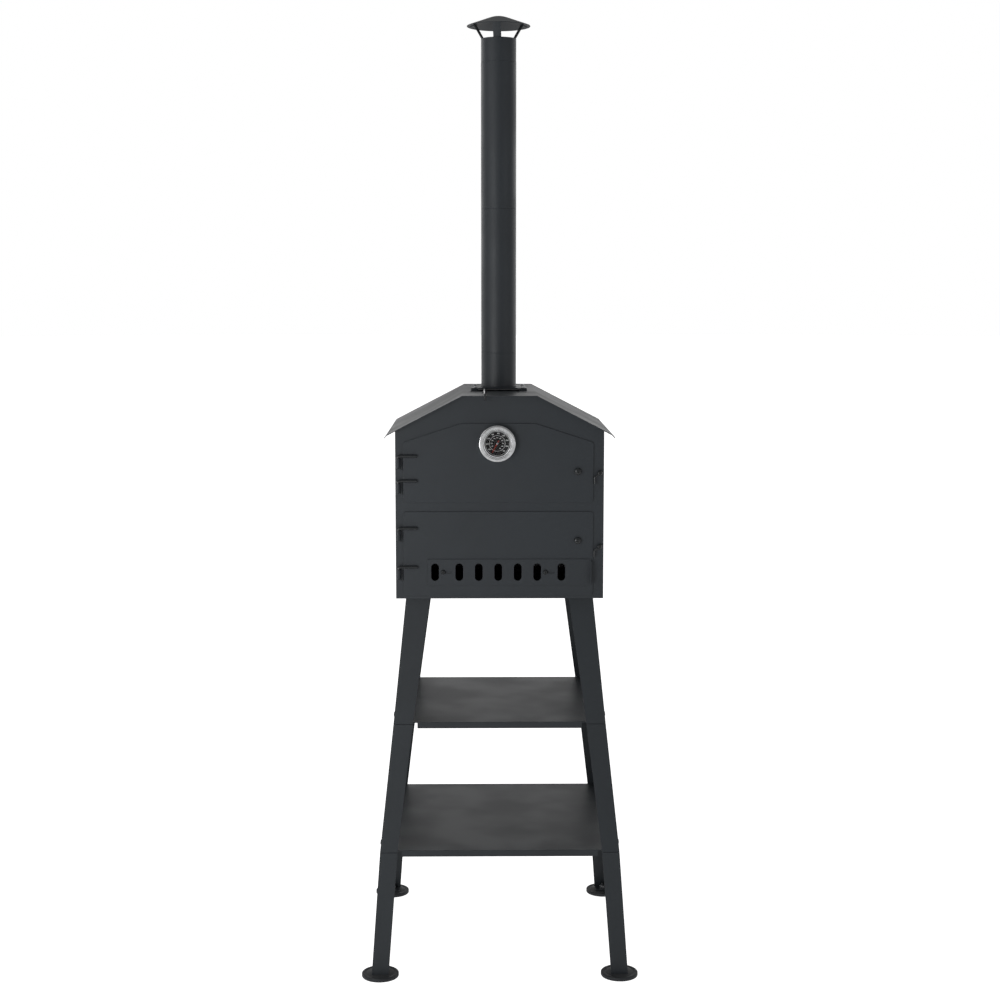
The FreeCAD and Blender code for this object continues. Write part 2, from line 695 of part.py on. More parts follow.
def knuckle(z_rod):
    """A curled knuckle with the web that joins it to the frame."""
    top = z_rod - HINGE_BEND - KNUCKLE_SHOULDER
    bottom = top - KNUCKLE_H
    barrel = rod_along((0, 0, 1), KNUCKLE_R, (HINGE_X, HINGE_Y, bottom), KNUCKLE_H)
    web_right = HINGE_X + KNUCKLE_R
    web = box(web_right - SHEET, web_right, HINGE_Y, FRONT + SHEET, bottom, top)
    return barrel.fuse(web)


def knuckle_bore(z_rod):
    return rod_along((0, 0, 1), HINGE_R + RUN_FIT, (HINGE_X, HINGE_Y, z_rod - LANCE_H * 2), LANCE_H * 3)


def lance_window(z_rod):
    left = HINGE_X + KNUCKLE_R
    top = z_rod - HINGE_R
    return box(left, left + LANCE_W, FRONT - 1, FRONT + SHEET + 1, top - LANCE_H, top)


def latch_screw_hole(z):
    """Cutter for a pivot screw, through the frame and the flange behind it."""
    return rod_along((0, 1, 0), LATCH_SCREW_D / 2 + HOLE_FIT, (LATCH_X, FRONT - 1, z), 2 * SHEET + 2)


def front_frame():
    solid = plate_xz(gable(), FRONT, FRONT + SHEET)
    for outline in (upper_door_outline(), lower_door_outline()):
        opening = plate_xz(inset(outline, DOOR_SEAT), FRONT - 1, FRONT + SHEET + 1)
        solid = solid.cut(round_edges_along_y(opening, DOOR_CORNER))
    upper, lower = hinge_heights()
    for z_rod in upper + lower:
        solid = solid.cut(lance_window(z_rod))
        solid = solid.fuse(knuckle(z_rod))
        solid = solid.cut(knuckle_bore(z_rod))
    for z in latch_heights():
        solid = solid.cut(latch_screw_hole(z))
    return solid.removeSplitter()


def back_panel():
    return plate_xz(gable(), HALF_D - SHEET, HALF_D)


def side_panel(side):
    """A side sheet with inward flanges at the front and back, cut to the roof slope."""
    y_in = HALF_D - SHEET
    outer = sorted((side * HALF_W, side * (HALF_W - SHEET)))
    flange = sorted((side * HALF_W, side * (HALF_W - SIDE_FLANGE)))
    solid = box(outer[0], outer[1], -y_in, y_in, STAND_H, BODY_TOP)
    for end in (-1, 1):
        ys = sorted((end * y_in, end * (y_in - SHEET)))
        solid = solid.fuse(box(flange[0], flange[1], ys[0], ys[1], STAND_H, BODY_TOP))
    if side > 0:
        for z in latch_heights():
            solid = solid.cut(latch_screw_hole(z))
    return solid.common(plate_xz(gable(), -HALF_D, HALF_D)).removeSplitter()


def floor_plate():
    half_x = HALF_W - SHEET
    solid = box(-half_x, half_x, -INNER_END, INNER_END, STAND_H, STAND_H + SHEET)
    for _, sx, sy in corners4():
        px, py = top_bolt_place(sx, sy)
        solid = solid.cut(rod_along((0, 0, 1), BOLT_D / 2 + HOLE_FIT, (px, py, STAND_H - 1), SHEET + 2))
    return solid


def roof():
    """Roof sheet bent over the gable, with turned edges along the eaves and a flue hole."""
    eave_x = HALF_W + ROOF_OVERHANG_X
    eave_z = SIDE_TOP - ROOF_OVERHANG_X * ROOF_TAN
    lip_x = eave_x + ROOF_LIP * math.cos(math.radians(ROOF_LIP_PITCH))
    lip_z = eave_z - ROOF_LIP * math.sin(math.radians(ROOF_LIP_PITCH))
    flat = FLAT_W / 2
    lower_face = [
        (-lip_x, lip_z),
        (-eave_x, eave_z),
        (-flat, BODY_TOP),
        (flat, BODY_TOP),
        (eave_x, eave_z),
        (lip_x, lip_z),
    ]
    solid = plate_xz(bent_strip(lower_face, ROOF_T), ROOF_FRONT, -ROOF_FRONT)
    solid = solid.cut(rod_along((0, 0, 1), BORE_R, (0, 0, BODY_TOP - 1), ROOF_T + 2))
    for x, y in flange_screw_places():
        hole = FLANGE_SCREW_D / 2 + HOLE_FIT
        solid = solid.cut(rod_along((0, 0, 1), hole, (x, y, BODY_TOP - 1), ROOF_T + 2))
    return solid


# ---- doors and their fittings ---------------------------------------------------------------
def upper_door():
    solid = round_edges_along_y(plate_xz(upper_door_outline(), DOOR_FACE, DOOR_BACK), DOOR_CORNER)
    hole = rod_along((0, 1, 0), STEM_D / 2 + HOLE_FIT, (GAUGE_X, DOOR_FACE - 1, GAUGE_Z), SHEET + 2)
    return solid.cut(hole)


def lower_door():
    solid = round_edges_along_y(plate_xz(lower_door_outline(), DOOR_FACE, DOOR_BACK), DOOR_CORNER)
    for offset in VENT_ROW:
        solid = solid.cut(obround(DOOR_X + offset, VENT_Z, VENT_W, VENT_H, DOOR_FACE - 1, DOOR_BACK + 1))
    for x in guide_screw_xs():
        hole = GUIDE_SCREW_D / 2 + HOLE_FIT
        solid = solid.cut(rod_along((0, 1, 0), hole, (x, DOOR_FACE - 1, VENT_Z), SHEET + 2))
    return solid


def hinge_rods(heights):
    """The bent rods of one door: along its face, over the frame and down into a knuckle."""
    solids = []
    for z in heights:
        path = [
            (DOOR_L + HINGE_ROD_ON, HINGE_Y, z),
            (HINGE_X, HINGE_Y, z),
            (HINGE_X, HINGE_Y, z - HINGE_ROD_DROP),
        ]
        solids.append(bent_rod(path, HINGE_BEND, HINGE_R))
    return group(solids)


def door_knob(z):
    """A small mushroom knob with a crossed driving recess."""
    radius = KNOB_D / 2
    crown = KNOB_H - KNOB_NECK_H
    outline = [
        (0, 0),
        (KNOB_NECK_D / 2, 0),
        (KNOB_NECK_D / 2, KNOB_NECK_H),
        (radius, KNOB_NECK_H),
        (radius, KNOB_NECK_H + crown * KNOB_EDGE),
        (radius * KNOB_SHOULDER, KNOB_NECK_H + crown * KNOB_SHOULDER),
        (radius * KNOB_FLAT, KNOB_H),
        (0, KNOB_H),
    ]
    solid = turned(outline)
    half = KNOB_RECESS / 2
    arm = radius * KNOB_ARM
    solid = solid.cut(box(-half, half, -arm, arm, KNOB_H - KNOB_RECESS, KNOB_H + 1))
    solid = solid.cut(box(-arm, arm, -half, half, KNOB_H - KNOB_RECESS, KNOB_H + 1))
    return aimed(solid, (DOOR_R - KNOB_IN, DOOR_FACE, z), (0, -1, 0))


def latch_hook(z):
    """A turn hook: an eye on the pivot screw and a rod that hangs beside the door edge."""
    arm_x = LATCH_X - LATCH_REACH
    eye_r = LATCH_EYE_D / 2
    eye = disc_out(eye_r, LATCH_X, z, LATCH_Y + LATCH_ROD_D / 2, LATCH_ROD_D)
    path = [
        (LATCH_X - LATCH_REACH * LATCH_START, LATCH_Y, z - LATCH_SHOULDER * LATCH_START),
        (arm_x, LATCH_Y, z - LATCH_SHOULDER),
        (arm_x, LATCH_Y, z - LATCH_LENGTH),
    ]
    solid = eye.fuse(bent_rod(path, LATCH_BEND, LATCH_ROD_D / 2))
    bore = rod_along((0, 1, 0), LATCH_BORE_R, (LATCH_X, LATCH_Y - LATCH_ROD_D, z), 2 * LATCH_ROD_D)
    return solid.cut(bore)


def latch_screw(z):
    """Pivot screw with a collar that holds the hook clear of the frame."""
    hook_back = LATCH_Y + LATCH_ROD_D / 2
    collar_front = hook_back + SLIDE_GAP
    head_back = LATCH_Y - LATCH_ROD_D / 2 - SLIDE_GAP
    shank = screw(LATCH_SCREW_D, FRONT + SHEET - head_back + SHEET, LATCH_HEAD_D, LATCH_HEAD_H)
    solid = aimed(shank, (LATCH_X, head_back, z), (0, -1, 0))
    collar = disc_out(LATCH_EYE_D / 2 - THIN, LATCH_X, z, FRONT, FRONT - collar_front)
    return solid.fuse(collar).removeSplitter()


def guide_screw_xs():
    """The guide screws stand at the left ends of their slots while the vents are open."""
    return [DOOR_X + side * GUIDE_X - DAMPER_TRAVEL / 2 for side in (-1, 1)]


def air_damper():
    """Slide over the vents, with matching slots, guide slots and a turned-out tab."""
    left = DOOR_X + VENT_ROW[0] - DAMPER_END_L
    right = DOOR_R - DAMPER_TAB_IN
    solid = box(left, right, DAMPER_FACE, DAMPER_BACK, VENT_Z - DAMPER_H / 2, VENT_Z + DAMPER_H / 2)
    for offset in VENT_ROW:
        solid = solid.cut(obround(DOOR_X + offset, VENT_Z, VENT_W, VENT_H, DAMPER_FACE - 1, DAMPER_BACK + 1))
    slot_h = GUIDE_SCREW_D + 2 * HOLE_FIT
    for side in (-1, 1):
        middle = DOOR_X + side * GUIDE_X
        slot = obround(middle, VENT_Z, slot_h + DAMPER_TRAVEL, slot_h, DAMPER_FACE - 1, DAMPER_BACK + 1)
        solid = solid.cut(slot)
    tab_half = DAMPER_H / 2 - DAMPER_TAB_TRIM
    tab = box(right - DAMPER_T, right, DAMPER_FACE - DAMPER_TAB, DAMPER_FACE,
              VENT_Z - tab_half, VENT_Z + tab_half)
    return solid.fuse(tab).removeSplitter()


def air_damper_screws():
    solids = []
    for x in guide_screw_xs():
        length = DOOR_BACK - DAMPER_FACE + SLIDE_GAP + SHEET
        body = screw(GUIDE_SCREW_D, length, GUIDE_HEAD_D, GUIDE_HEAD_H)
        solids.append(aimed(body, (x, DAMPER_FACE - SLIDE_GAP, VENT_Z), (0, -1, 0)))
    return group(solids)


# ---- thermometer ----------------------------------------------------------------------------
def gauge_ring(outer, inner, depth_from, depth_to):
    """A ring or disc of the thermometer between two heights above the face of the door."""
    return disc_out(outer, GAUGE_X, GAUGE_Z, DOOR_FACE - depth_from, depth_to - depth_from, inner)


def thermometer_case():
    """Cup that holds the dial, with its threaded shank and probe in one piece."""
    solid = gauge_ring(CASE_R, 0.0, 0.0, CASE_DEPTH)
    solid = solid.cut(gauge_ring(DIAL_R - THIN, 0.0, CASE_WALL, CASE_DEPTH))
    solid = solid.cut(gauge_ring(DIAL_R + HOLE_FIT, 0.0, DIAL_DEPTH, CASE_DEPTH))
    solid = solid.fuse(rod_along((0, 1, 0), STEM_D / 2, (GAUGE_X, DOOR_FACE, GAUGE_Z), STEM_L))
    return solid.fuse(rod_along((0, 1, 0), PROBE_D / 2, (GAUGE_X, DOOR_FACE, GAUGE_Z), STEM_L + PROBE_L))


def thermometer_nut():
    body = nut(GAUGE_NUT_AF, GAUGE_NUT_H, STEM_D)
    return aimed(body, (GAUGE_X, DOOR_BACK, GAUGE_Z), (0, 1, 0))


def thermometer_dial():
    return gauge_ring(DIAL_R, SPINDLE_D / 2 + HOLE_FIT, DIAL_DEPTH, DIAL_DEPTH + DIAL_T)


def thermometer_lens():
    return gauge_ring(LENS_R, 0.0, CASE_DEPTH, CASE_DEPTH + LENS_T)


def thermometer_bezel():
    lens_front = CASE_DEPTH + LENS_T
    wall = gauge_ring(BEZEL_R, CASE_R + HOLE_FIT, CASE_WALL, lens_front)
    lip = gauge_ring(BEZEL_R, BEZEL_EYE_D / 2, lens_front, lens_front + BEZEL_LIP)
    return wall.fuse(lip).removeSplitter()


def thermometer_needle():
    back = DOOR_FACE - DIAL_DEPTH - DIAL_T - NEEDLE_LIFT
    half = NEEDLE_W / 2
    tip = half * NEEDLE_TIP
    outline = [(-half, -NEEDLE_TAIL), (half, -NEEDLE_TAIL), (tip, NEEDLE_L), (-tip, NEEDLE_L)]
    blade = plate_xz(outline, -NEEDLE_T, 0.0)
    blade = blade.fuse(rod_along((0, -1, 0), NEEDLE_HUB_D / 2, (0, 0, 0), NEEDLE_T * 2))
    spindle = NEEDLE_LIFT + DIAL_T + NEEDLE_T
    blade = blade.fuse(rod_along((0, 1, 0), SPINDLE_D / 2, (0, -NEEDLE_T / 2, 0), spindle))
    blade.rotate(Vector(0, 0, 0), Vector(0, 1, 0), NEEDLE_REST)
    blade.translate(Vector(GAUGE_X, back, GAUGE_Z))
    return blade


# ---- flue -----------------------------------------------------------------------------------
def flange_screw_places():
    reach = (FLANGE_W - GUIDE_RAIL) / 2
    return [(sx * reach, sy * reach) for sx in (-1, 1) for sy in (-1, 1)]


def flange_plate(z0, z1):
    half = FLANGE_W / 2
    solid = box(-half, half, -half, half, z0, z1)
    for x, y in flange_screw_places():
        hole = FLANGE_SCREW_D / 2 + HOLE_FIT
        solid = solid.cut(rod_along((0, 0, 1), hole, (x, y, z0 - 1), z1 - z0 + 2))
    return solid


def flue_guide():
    """Spacer on the roof with a channel, open to the front, for the damper blade."""
    half = FLANGE_W / 2
    channel = BLADE_W / 2 + BLADE_SIDE_GAP
    solid = flange_plate(ROOF_TOP, GUIDE_TOP)
    back = BLADE_BACK + BLADE_SIDE_GAP
    return solid.cut(box(-channel, channel, -half - 1, back, ROOF_TOP - 1, GUIDE_TOP + 1))


def pipe_outline(z0, z1, radius):
    """Half section of a pipe whose top end is reduced to fit inside the next one."""
    return [
        (radius - THIN, z0),
        (radius, z0),
        (radius, z1),
        (SPIGOT_R, z1),
        (SPIGOT_R, z1 + PIPE_LAP),
        (SPIGOT_R - THIN, z1 + PIPE_LAP),
        (SPIGOT_R - THIN, z1 - THIN),
        (radius - THIN, z1 - THIN),
    ]


def pipe(z0, z1):
    return turned(pipe_outline(z0, z1, PIPE_R))


def flue_base():
    """Square flange with the first short length of pipe."""
    solid = flange_plate(GUIDE_TOP, FLANGE_TOP)
    solid = solid.cut(rod_along((0, 0, 1), BORE_R, (0, 0, GUIDE_TOP - 1), SHEET + 2))
    return solid.fuse(pipe(GUIDE_TOP, FLUE_STUB_TOP)).removeSplitter()


def flange_screws():
    solids = []
    for x, y in flange_screw_places():
        body = screw(FLANGE_SCREW_D, SHEET + GUIDE_H + ROOF_T + THIN, FLANGE_HEAD_D, FLANGE_HEAD_H)
        solids.append(aimed(body, (x, y, FLANGE_TOP), (0, 0, 1)))
    return group(solids)


def flue_damper_blade():
    half = BLADE_W / 2
    z0 = ROOF_TOP + BLADE_LIFT
    return box(-half, half, -FLANGE_W / 2, BLADE_BACK, z0, z0 + SHEET)


def flue_damper_rod():
    """Pull rod from the blade over the roof to a finger hook at the front edge."""
    z = ROOF_TOP + BLADE_LIFT + SHEET / 2
    y_front = ROOF_FRONT - FLUE_ROD_CLEAR - FLUE_ROD_D / 2
    path = [
        (FLUE_ROD_X, -FLANGE_W / 2, z),
        (FLUE_ROD_X, y_front, z),
        (FLUE_ROD_X, y_front, z - FLUE_ROD_DROP),
    ]
    return bent_rod(path, FLUE_ROD_BEND, FLUE_ROD_D / 2)


def cap_collar():
    """Short collar of the rain cap, sleeved over the reduced end of the upper pipe."""
    return turned([
        (SPIGOT_R + PIPE_FIT / 2, UPPER_PIPE_TOP),
        (PIPE_R - COLLAR_SLIM, UPPER_PIPE_TOP),
        (PIPE_R - COLLAR_SLIM, COLLAR_TOP),
        (SPIGOT_R + PIPE_FIT / 2, COLLAR_TOP),
    ])


def cap_top(radius):
    """Height of the top of the cap at a radius: a cone that rounds over at its crown."""
    slope = CAP_H / (CAP_D / 2)
    cone = CAP_RIM + (CAP_D / 2 - max(radius, CAP_CROWN_R)) * slope
    if radius >= CAP_CROWN_R:
        return cone
    return cone + slope * (CAP_CROWN_R**2 - radius**2) / (2 * CAP_CROWN_R)


def cap_under(radius):
    return cap_top(radius) - THIN


def rain_cap():
    """Shallow cone of sheet with a rounded crown and a turned-down edge."""
    rim_r = CAP_D / 2
    crown = [CAP_CROWN_R * share for share in (1.0, 0.75, 0.5, 0.25, 0.0)]
    top = [(rim_r, CAP_RIM - CAP_EDGE), (rim_r, CAP_RIM)] + [(r, cap_top(r)) for r in crown]
    under = [(r, cap_under(r)) for r in crown[::-1]]
    edge = [(rim_r - THIN, cap_under(rim_r - THIN)), (rim_r - THIN, CAP_RIM - CAP_EDGE)]
    return turned(top + under + edge)


def cap_straps():
    """Flat straps that flare from inside the collar to the underside of the cap."""
    inner = SPIGOT_R + PIPE_FIT / 2 - THIN
    spread = CAP_D / 2 * STRAP_SPREAD
    grip_low = COLLAR_TOP - min(STRAP_GRIP, COLLAR_L - PIPE_LAP - THIN)
    foot_out = spread + STRAP_FOOT
    ring = turned([
        (inner, grip_low),
        (inner + THIN, grip_low),
        (inner + THIN, COLLAR_TOP),
        (spread, cap_under(spread) - THIN),
        (foot_out, cap_under(foot_out) - THIN),
        (foot_out, cap_under(foot_out)),
        (spread - THIN, cap_under(spread - THIN)),
        (inner, COLLAR_TOP + THIN),
    ])
    solids = []
    for angle in STRAP_ANGLES:
        window = box(-STRAP_W / 2, STRAP_W / 2, -CAP_D, 0, grip_low - 1, CAP_RIM + CAP_H)
        strap = ring.common(window)
        strap.rotate(Vector(0, 0, 0), Vector(0, 0, 1), angle)
        solids.append(strap)
    return group(solids)


# ---- inside the oven ------------------------------------------------------------------------
def ledges(level):
    """A pair of angle ledges on the side panels; level is their upper face."""
    solids = []
    half_y = INNER_END - LEDGE_END
    wall = HALF_W - SHEET
    for side in (-1, 1):
        flat_x = sorted((side * wall, side * (wall - LEDGE_W)))
        drop_x = sorted((side * wall, side * (wall - SHEET)))
        flat = box(flat_x[0], flat_x[1], -half_y, half_y, level - SHEET, level)
        drop = box(drop_x[0], drop_x[1], -half_y, half_y, level - LEDGE_H, level)
        solids.append(flat.fuse(drop).removeSplitter())
    return group(solids)


def pizza_stones():
    """Two fireclay slabs, one behind the other, across the ledges."""
    half_x = HALF_W - SHEET - STONE_SIDE_GAP
    solids = []
    for side in (-1, 1):
        ys = sorted((side * STONE_APART / 2, side * (STONE_APART / 2 + STONE_DEPTH)))
        slab = box(-half_x, half_x, ys[0], ys[1], STONE_LEVEL, STONE_TOP)
        solids.append(slab.makeChamfer(STONE_EDGE, slab.Edges))
    return group(solids)


def charcoal_grate():
    """Round bars across the ledges, welded on two runners."""
    z_bar = GRATE_LEVEL + GRATE_BAR_D / 2
    radius = GRATE_BAR_D / 2
    half_x = HALF_W - SHEET - GRATE_SIDE_GAP
    half_y = INNER_END - GRATE_END_GAP
    solid = None
    for side in (-1, 1):
        z_runner = z_bar - GRATE_BAR_D + GRATE_SINK
        start = (side * GRATE_RUNNER_X, -half_y, z_runner)
        runner = rod_along((0, 1, 0), radius, start, 2 * half_y)
        solid = runner if solid is None else solid.fuse(runner)
    spaces = int(2 * half_y // GRATE_PITCH)
    for i in range(spaces):
        y = (i - (spaces - 1) / 2) * GRATE_PITCH
        solid = solid.fuse(rod_along((1, 0, 0), radius, (-half_x, y, z_bar), 2 * half_x))
    return solid


def ash_pan():
    """Open tray on the floor of the fire chamber, with a turned-out rim at the front."""
    z0 = STAND_H + SHEET
    half_x = top_bolt_place(1, 1)[0] - BOLT_HEAD_D / 2 - PAN_BOLT_GAP
    half_y = INNER_END - PAN_END_GAP
    solid = box(-half_x, half_x, -half_y, half_y, z0, z0 + PAN_H)
    in_x = half_x - THIN
    in_y = half_y - THIN
    solid = solid.cut(box(-in_x, in_x, -in_y, in_y, z0 + THIN, z0 + PAN_H))
    rim = box(-half_x, half_x, -half_y - PAN_RIM, -half_y, z0 + PAN_H - THIN, z0 + PAN_H)
    return solid.fuse(rim).removeSplitter()


# ---- everything by name ---------------------------------------------------------------------
def build():
    upper_rods, lower_rods = hinge_heights()
    upper_latch, lower_latch = latch_heights()
    nodes = {
        "front_frame": front_frame(),
        "back_panel": back_panel(),
        "left_side_panel": side_panel(-1),
        "right_side_panel": side_panel(1),
        "floor_plate": floor_plate(),
        "roof": roof(),
        "flue_guide": flue_guide(),
        "flue_base": flue_base(),
        "flange_screws": flange_screws(),
        "flue_damper_blade": flue_damper_blade(),
        "flue_damper_rod": flue_damper_rod(),
        "lower_pipe": pipe(FLUE_STUB_TOP, LOWER_PIPE_TOP),
        "upper_pipe": pipe(LOWER_PIPE_TOP, UPPER_PIPE_TOP),
        "cap_collar": cap_collar(),
        "cap_straps": cap_straps(),
        "rain_cap": rain_cap(),
        "upper_door": upper_door(),
        "upper_door_hinge_rods": hinge_rods(upper_rods),
        "upper_door_knob": door_knob(UPPER_DOOR_Z + UPPER_KNOB_RISE),
        "lower_door": lower_door(),
        "lower_door_hinge_rods": hinge_rods(lower_rods),
        "lower_door_knob": door_knob(LOWER_DOOR_Z + LOWER_KNOB_RISE),
        "upper_latch_hook": latch_hook(upper_latch),
        "lower_latch_hook": latch_hook(lower_latch),
        "latch_screws": group([latch_screw(upper_latch), latch_screw(lower_latch)]),
        "air_damper": air_damper(),
        "air_damper_screws": air_damper_screws(),
        "thermometer_case": thermometer_case(),
        "thermometer_nut": thermometer_nut(),
        "thermometer_dial": thermometer_dial(),
        "thermometer_lens": thermometer_lens(),
        "thermometer_bezel": thermometer_bezel(),
        "thermometer_needle": thermometer_needle(),
        "stand_bolts": stand_bolts(),
        "stand_nuts": stand_nuts(),
        "foot_nuts": foot_nuts(),
        "upper_shelf": shelf(2),
        "lower_shelf": shelf(1),
        "stone_ledges": ledges(STONE_LEVEL),
        "grate_ledges": ledges(GRATE_LEVEL),
        "pizza_stones": pizza_stones(),
        "charcoal_grate": charcoal_grate(),
        "ash_pan": ash_pan(),
    }
    heights = ("lower", "middle", "upper")
    for name, sx, sy in corners4():
        nodes[name + "_foot"] = foot(sx, sy)
        for level in range(LEG_SECTIONS):
            nodes[name + "_leg_" + heights[level]] = leg_section(level, sx, sy)
    return nodes


def write(nodes):
    os.makedirs("parts", exist_ok=True)
    for name, shape in nodes.items():
        if not shape.isValid():
            raise ValueError(name + " is not a valid shape")
        shape.exportStep(os.path.join("parts", name + ".step"))


write(build())
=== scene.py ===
"""Finished look of a charcoal oven on a stand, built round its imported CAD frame.

Run as a script, it dresses every part of the oven, lights a pale stage and sets the camera.
All sizes are in metres and every place is read from the frame.
"""
import json
import math
import random

import bmesh
import bpy
import numpy as np
from bpy.props import FloatProperty, FloatVectorProperty, PointerProperty
from mathutils import Matrix, Vector

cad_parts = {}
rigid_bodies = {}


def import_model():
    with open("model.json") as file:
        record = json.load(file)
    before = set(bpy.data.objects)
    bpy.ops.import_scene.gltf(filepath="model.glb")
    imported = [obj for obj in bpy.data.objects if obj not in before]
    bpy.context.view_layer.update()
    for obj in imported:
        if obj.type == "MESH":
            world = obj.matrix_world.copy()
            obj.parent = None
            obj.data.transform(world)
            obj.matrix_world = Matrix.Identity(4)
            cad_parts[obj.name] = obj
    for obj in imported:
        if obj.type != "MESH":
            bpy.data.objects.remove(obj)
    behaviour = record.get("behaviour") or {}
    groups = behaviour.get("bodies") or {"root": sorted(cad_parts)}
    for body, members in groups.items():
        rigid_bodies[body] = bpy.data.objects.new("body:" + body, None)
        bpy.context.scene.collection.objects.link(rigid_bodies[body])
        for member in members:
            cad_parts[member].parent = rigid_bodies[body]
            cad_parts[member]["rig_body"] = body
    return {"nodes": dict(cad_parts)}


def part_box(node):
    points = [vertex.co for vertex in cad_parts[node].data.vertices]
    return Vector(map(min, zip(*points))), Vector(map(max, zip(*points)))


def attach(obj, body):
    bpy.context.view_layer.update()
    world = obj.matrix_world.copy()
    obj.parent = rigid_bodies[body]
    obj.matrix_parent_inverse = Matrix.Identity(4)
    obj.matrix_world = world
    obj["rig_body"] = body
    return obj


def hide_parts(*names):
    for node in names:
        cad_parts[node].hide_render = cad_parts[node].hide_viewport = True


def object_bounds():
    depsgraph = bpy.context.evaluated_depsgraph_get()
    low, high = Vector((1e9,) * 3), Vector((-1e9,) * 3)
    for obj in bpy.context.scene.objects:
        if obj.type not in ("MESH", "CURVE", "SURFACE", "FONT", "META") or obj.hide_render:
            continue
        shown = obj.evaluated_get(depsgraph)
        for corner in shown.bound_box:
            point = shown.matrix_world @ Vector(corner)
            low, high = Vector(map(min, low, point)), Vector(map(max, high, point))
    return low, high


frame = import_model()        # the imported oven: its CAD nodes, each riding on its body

bl_info = {
    "name": "Charcoal Oven",
    "version": (1, 0, 0),
    "blender": (4, 5, 0),
    "location": "3D View > Sidebar > Oven",
    "description": "Builds the finished pieces of a charcoal oven on its stand, and a pale stage",
    "category": "Object",
}

NODES = frame["nodes"]
CAD_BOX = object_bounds()
MM = 0.001
DOORS = ("upper_door", "lower_door")
SHARP = math.radians(30)     # edges turned more than this are rounded or shaded sharp
ROUND = "rounded_edge"       # face attribute: 1 on the rounding of a sheet edge
FULL = 2 * math.pi
OUTWARD = (0, -1, 0)         # out of the face of the doors

# Fineness of round work
ROUND_STEPS = 2              # faces across a rounded edge
SCREW_STEPS = 40             # sides of a screw
SMALL_SIDES = 56             # sides of a knob or an eye
ROUND_SIDES = 96             # sides of a nut, foot, pane or dial
RIM_SIDES = 128

# Weld beads, in radii of the hinge rod or of the bead
BEAD_SEAT = 0.86             # from the middle of a rod to its bead
BEAD_POINTS = 46
BEAD_STRAY = 0.12            # greatest wander of a hand-laid bead
RIPPLES = 14                 # along a door's bead
FLUE_POINTS = 240
FLUE_RIPPLES = 60

# Turn hooks
EYE_BORE = 0.52              # bore of the eye, as a share of its radius
SHOULDER_DROP = 0.39         # bend of the arm, as a share of the drop from the pivot

# Thermometer: shares of the bezel's or the dial's radius
RIM_EYE = 0.717              # opening of the bezel
RIM_INNER = 0.91
RIM_CREST = 0.86
PANE_EYE = 0.66              # domed part of the pane
DIAL_RIM = 0.80

# Print of the dial: degrees clockwise from the top, and millimetres from the middle
DIAL_START = 210
MARK_TURN = 6
MARKS = 51
MARKS_PER_LONG = 5
NUMBER_TURN = 30             # 50 degrees Celsius
CELSIUS_STEP = 50
FAHRENHEIT_STEP = 100
CELSIUS_TURN = 0.6           # turn of the needle for one degree Celsius
DIAL_RINGS = ((12.55, 13.0), (19.35, 20.0))
LONG_MARK = (12.9, 14.0, 0.36)      # inner end, outer end and width
SHORT_MARK = (12.9, 13.5, 0.22)
CELSIUS_PRINT = (9.3, 1.9)          # distance of a number from the middle, and its height
FAHRENHEIT_PRINT = (16.4, 2.7)
PRINT_SWELL = 0.09                  # how much the strokes are thickened

# Stage
LAMPS = (                    # name, place, width and watts of each softbox
    ("key_softbox", (-1.3, -2.0, 0.75), 1.1, 15.0),
    ("high_softbox", (-2.4, -1.4, 2.4), 1.6, 10.0),
    ("fill_softbox", (2.6, -2.4, 1.3), 2.0, 5.0),
    ("top_softbox", (0.0, 1.6, 3.2), 2.4, 3.0),
)
LAMP_AIM = 0.55              # height the lamps point at, as a share of the oven's
FRONT_LEVEL = 0.23           # light of the surroundings in front of the oven
CAMERA_PLACE = (-0.030, -2.971, 1.1453)
CAMERA_DIP = 0.1223          # radians below level
CAMERA_TURN = -0.0109        # radians, to the right
CAMERA_LENS = 61.87          # millimetres


# ---- user settings --------------------------------------------------------------------------
def colour(name, description, default):
    return FloatVectorProperty(
        name=name, description=description, default=default, subtype="COLOR", min=0.0, max=1.0
    )


def length(name, description, default):
    return FloatProperty(
        name=name, description=description, default=default, min=0.0, unit="LENGTH", precision=5
    )


class OvenColours(bpy.types.PropertyGroup):
    """Colours of the finishes"""

    body_coat: colour("Body Coat", "Coat of the body, doors and flue", (0.0172, 0.0222, 0.0278))
    stand_coat: colour("Stand Coat", "Coat of the legs and shelves", (0.0132, 0.0180, 0.0228))
    foot_coat: colour("Feet", "Moulded discs under the legs", (0.0125, 0.0150, 0.0190))
    rod_coat: colour("Rods", "Coat of the hinge rods, hooks and knobs", (0.015, 0.017, 0.019))
    zinc: colour("Zinc", "Plated screws, bolts and nuts", (0.50, 0.51, 0.53))
    steel: colour("Inner Steel", "Bare steel inside the oven", (0.20, 0.20, 0.205))
    stone: colour("Fire Clay", "Baking stones", (0.56, 0.47, 0.36))
    chrome: colour("Chrome", "Bezel of the thermometer", (0.78, 0.79, 0.80))
    dial: colour("Dial", "Ground of the dial", (0.003, 0.003, 0.0035))
    ink: colour("Dial Print", "Numbers and marks of the dial", (0.80, 0.80, 0.80))
    needle: colour("Needle", "Paint of the needle", (0.36, 0.035, 0.02))
    dust: colour("Dust", "Fine dust that settles on level faces", (0.30, 0.30, 0.29))
    rubbed: colour("Rubbed Coat", "Coat where edges are rubbed thin", (0.075, 0.085, 0.092))


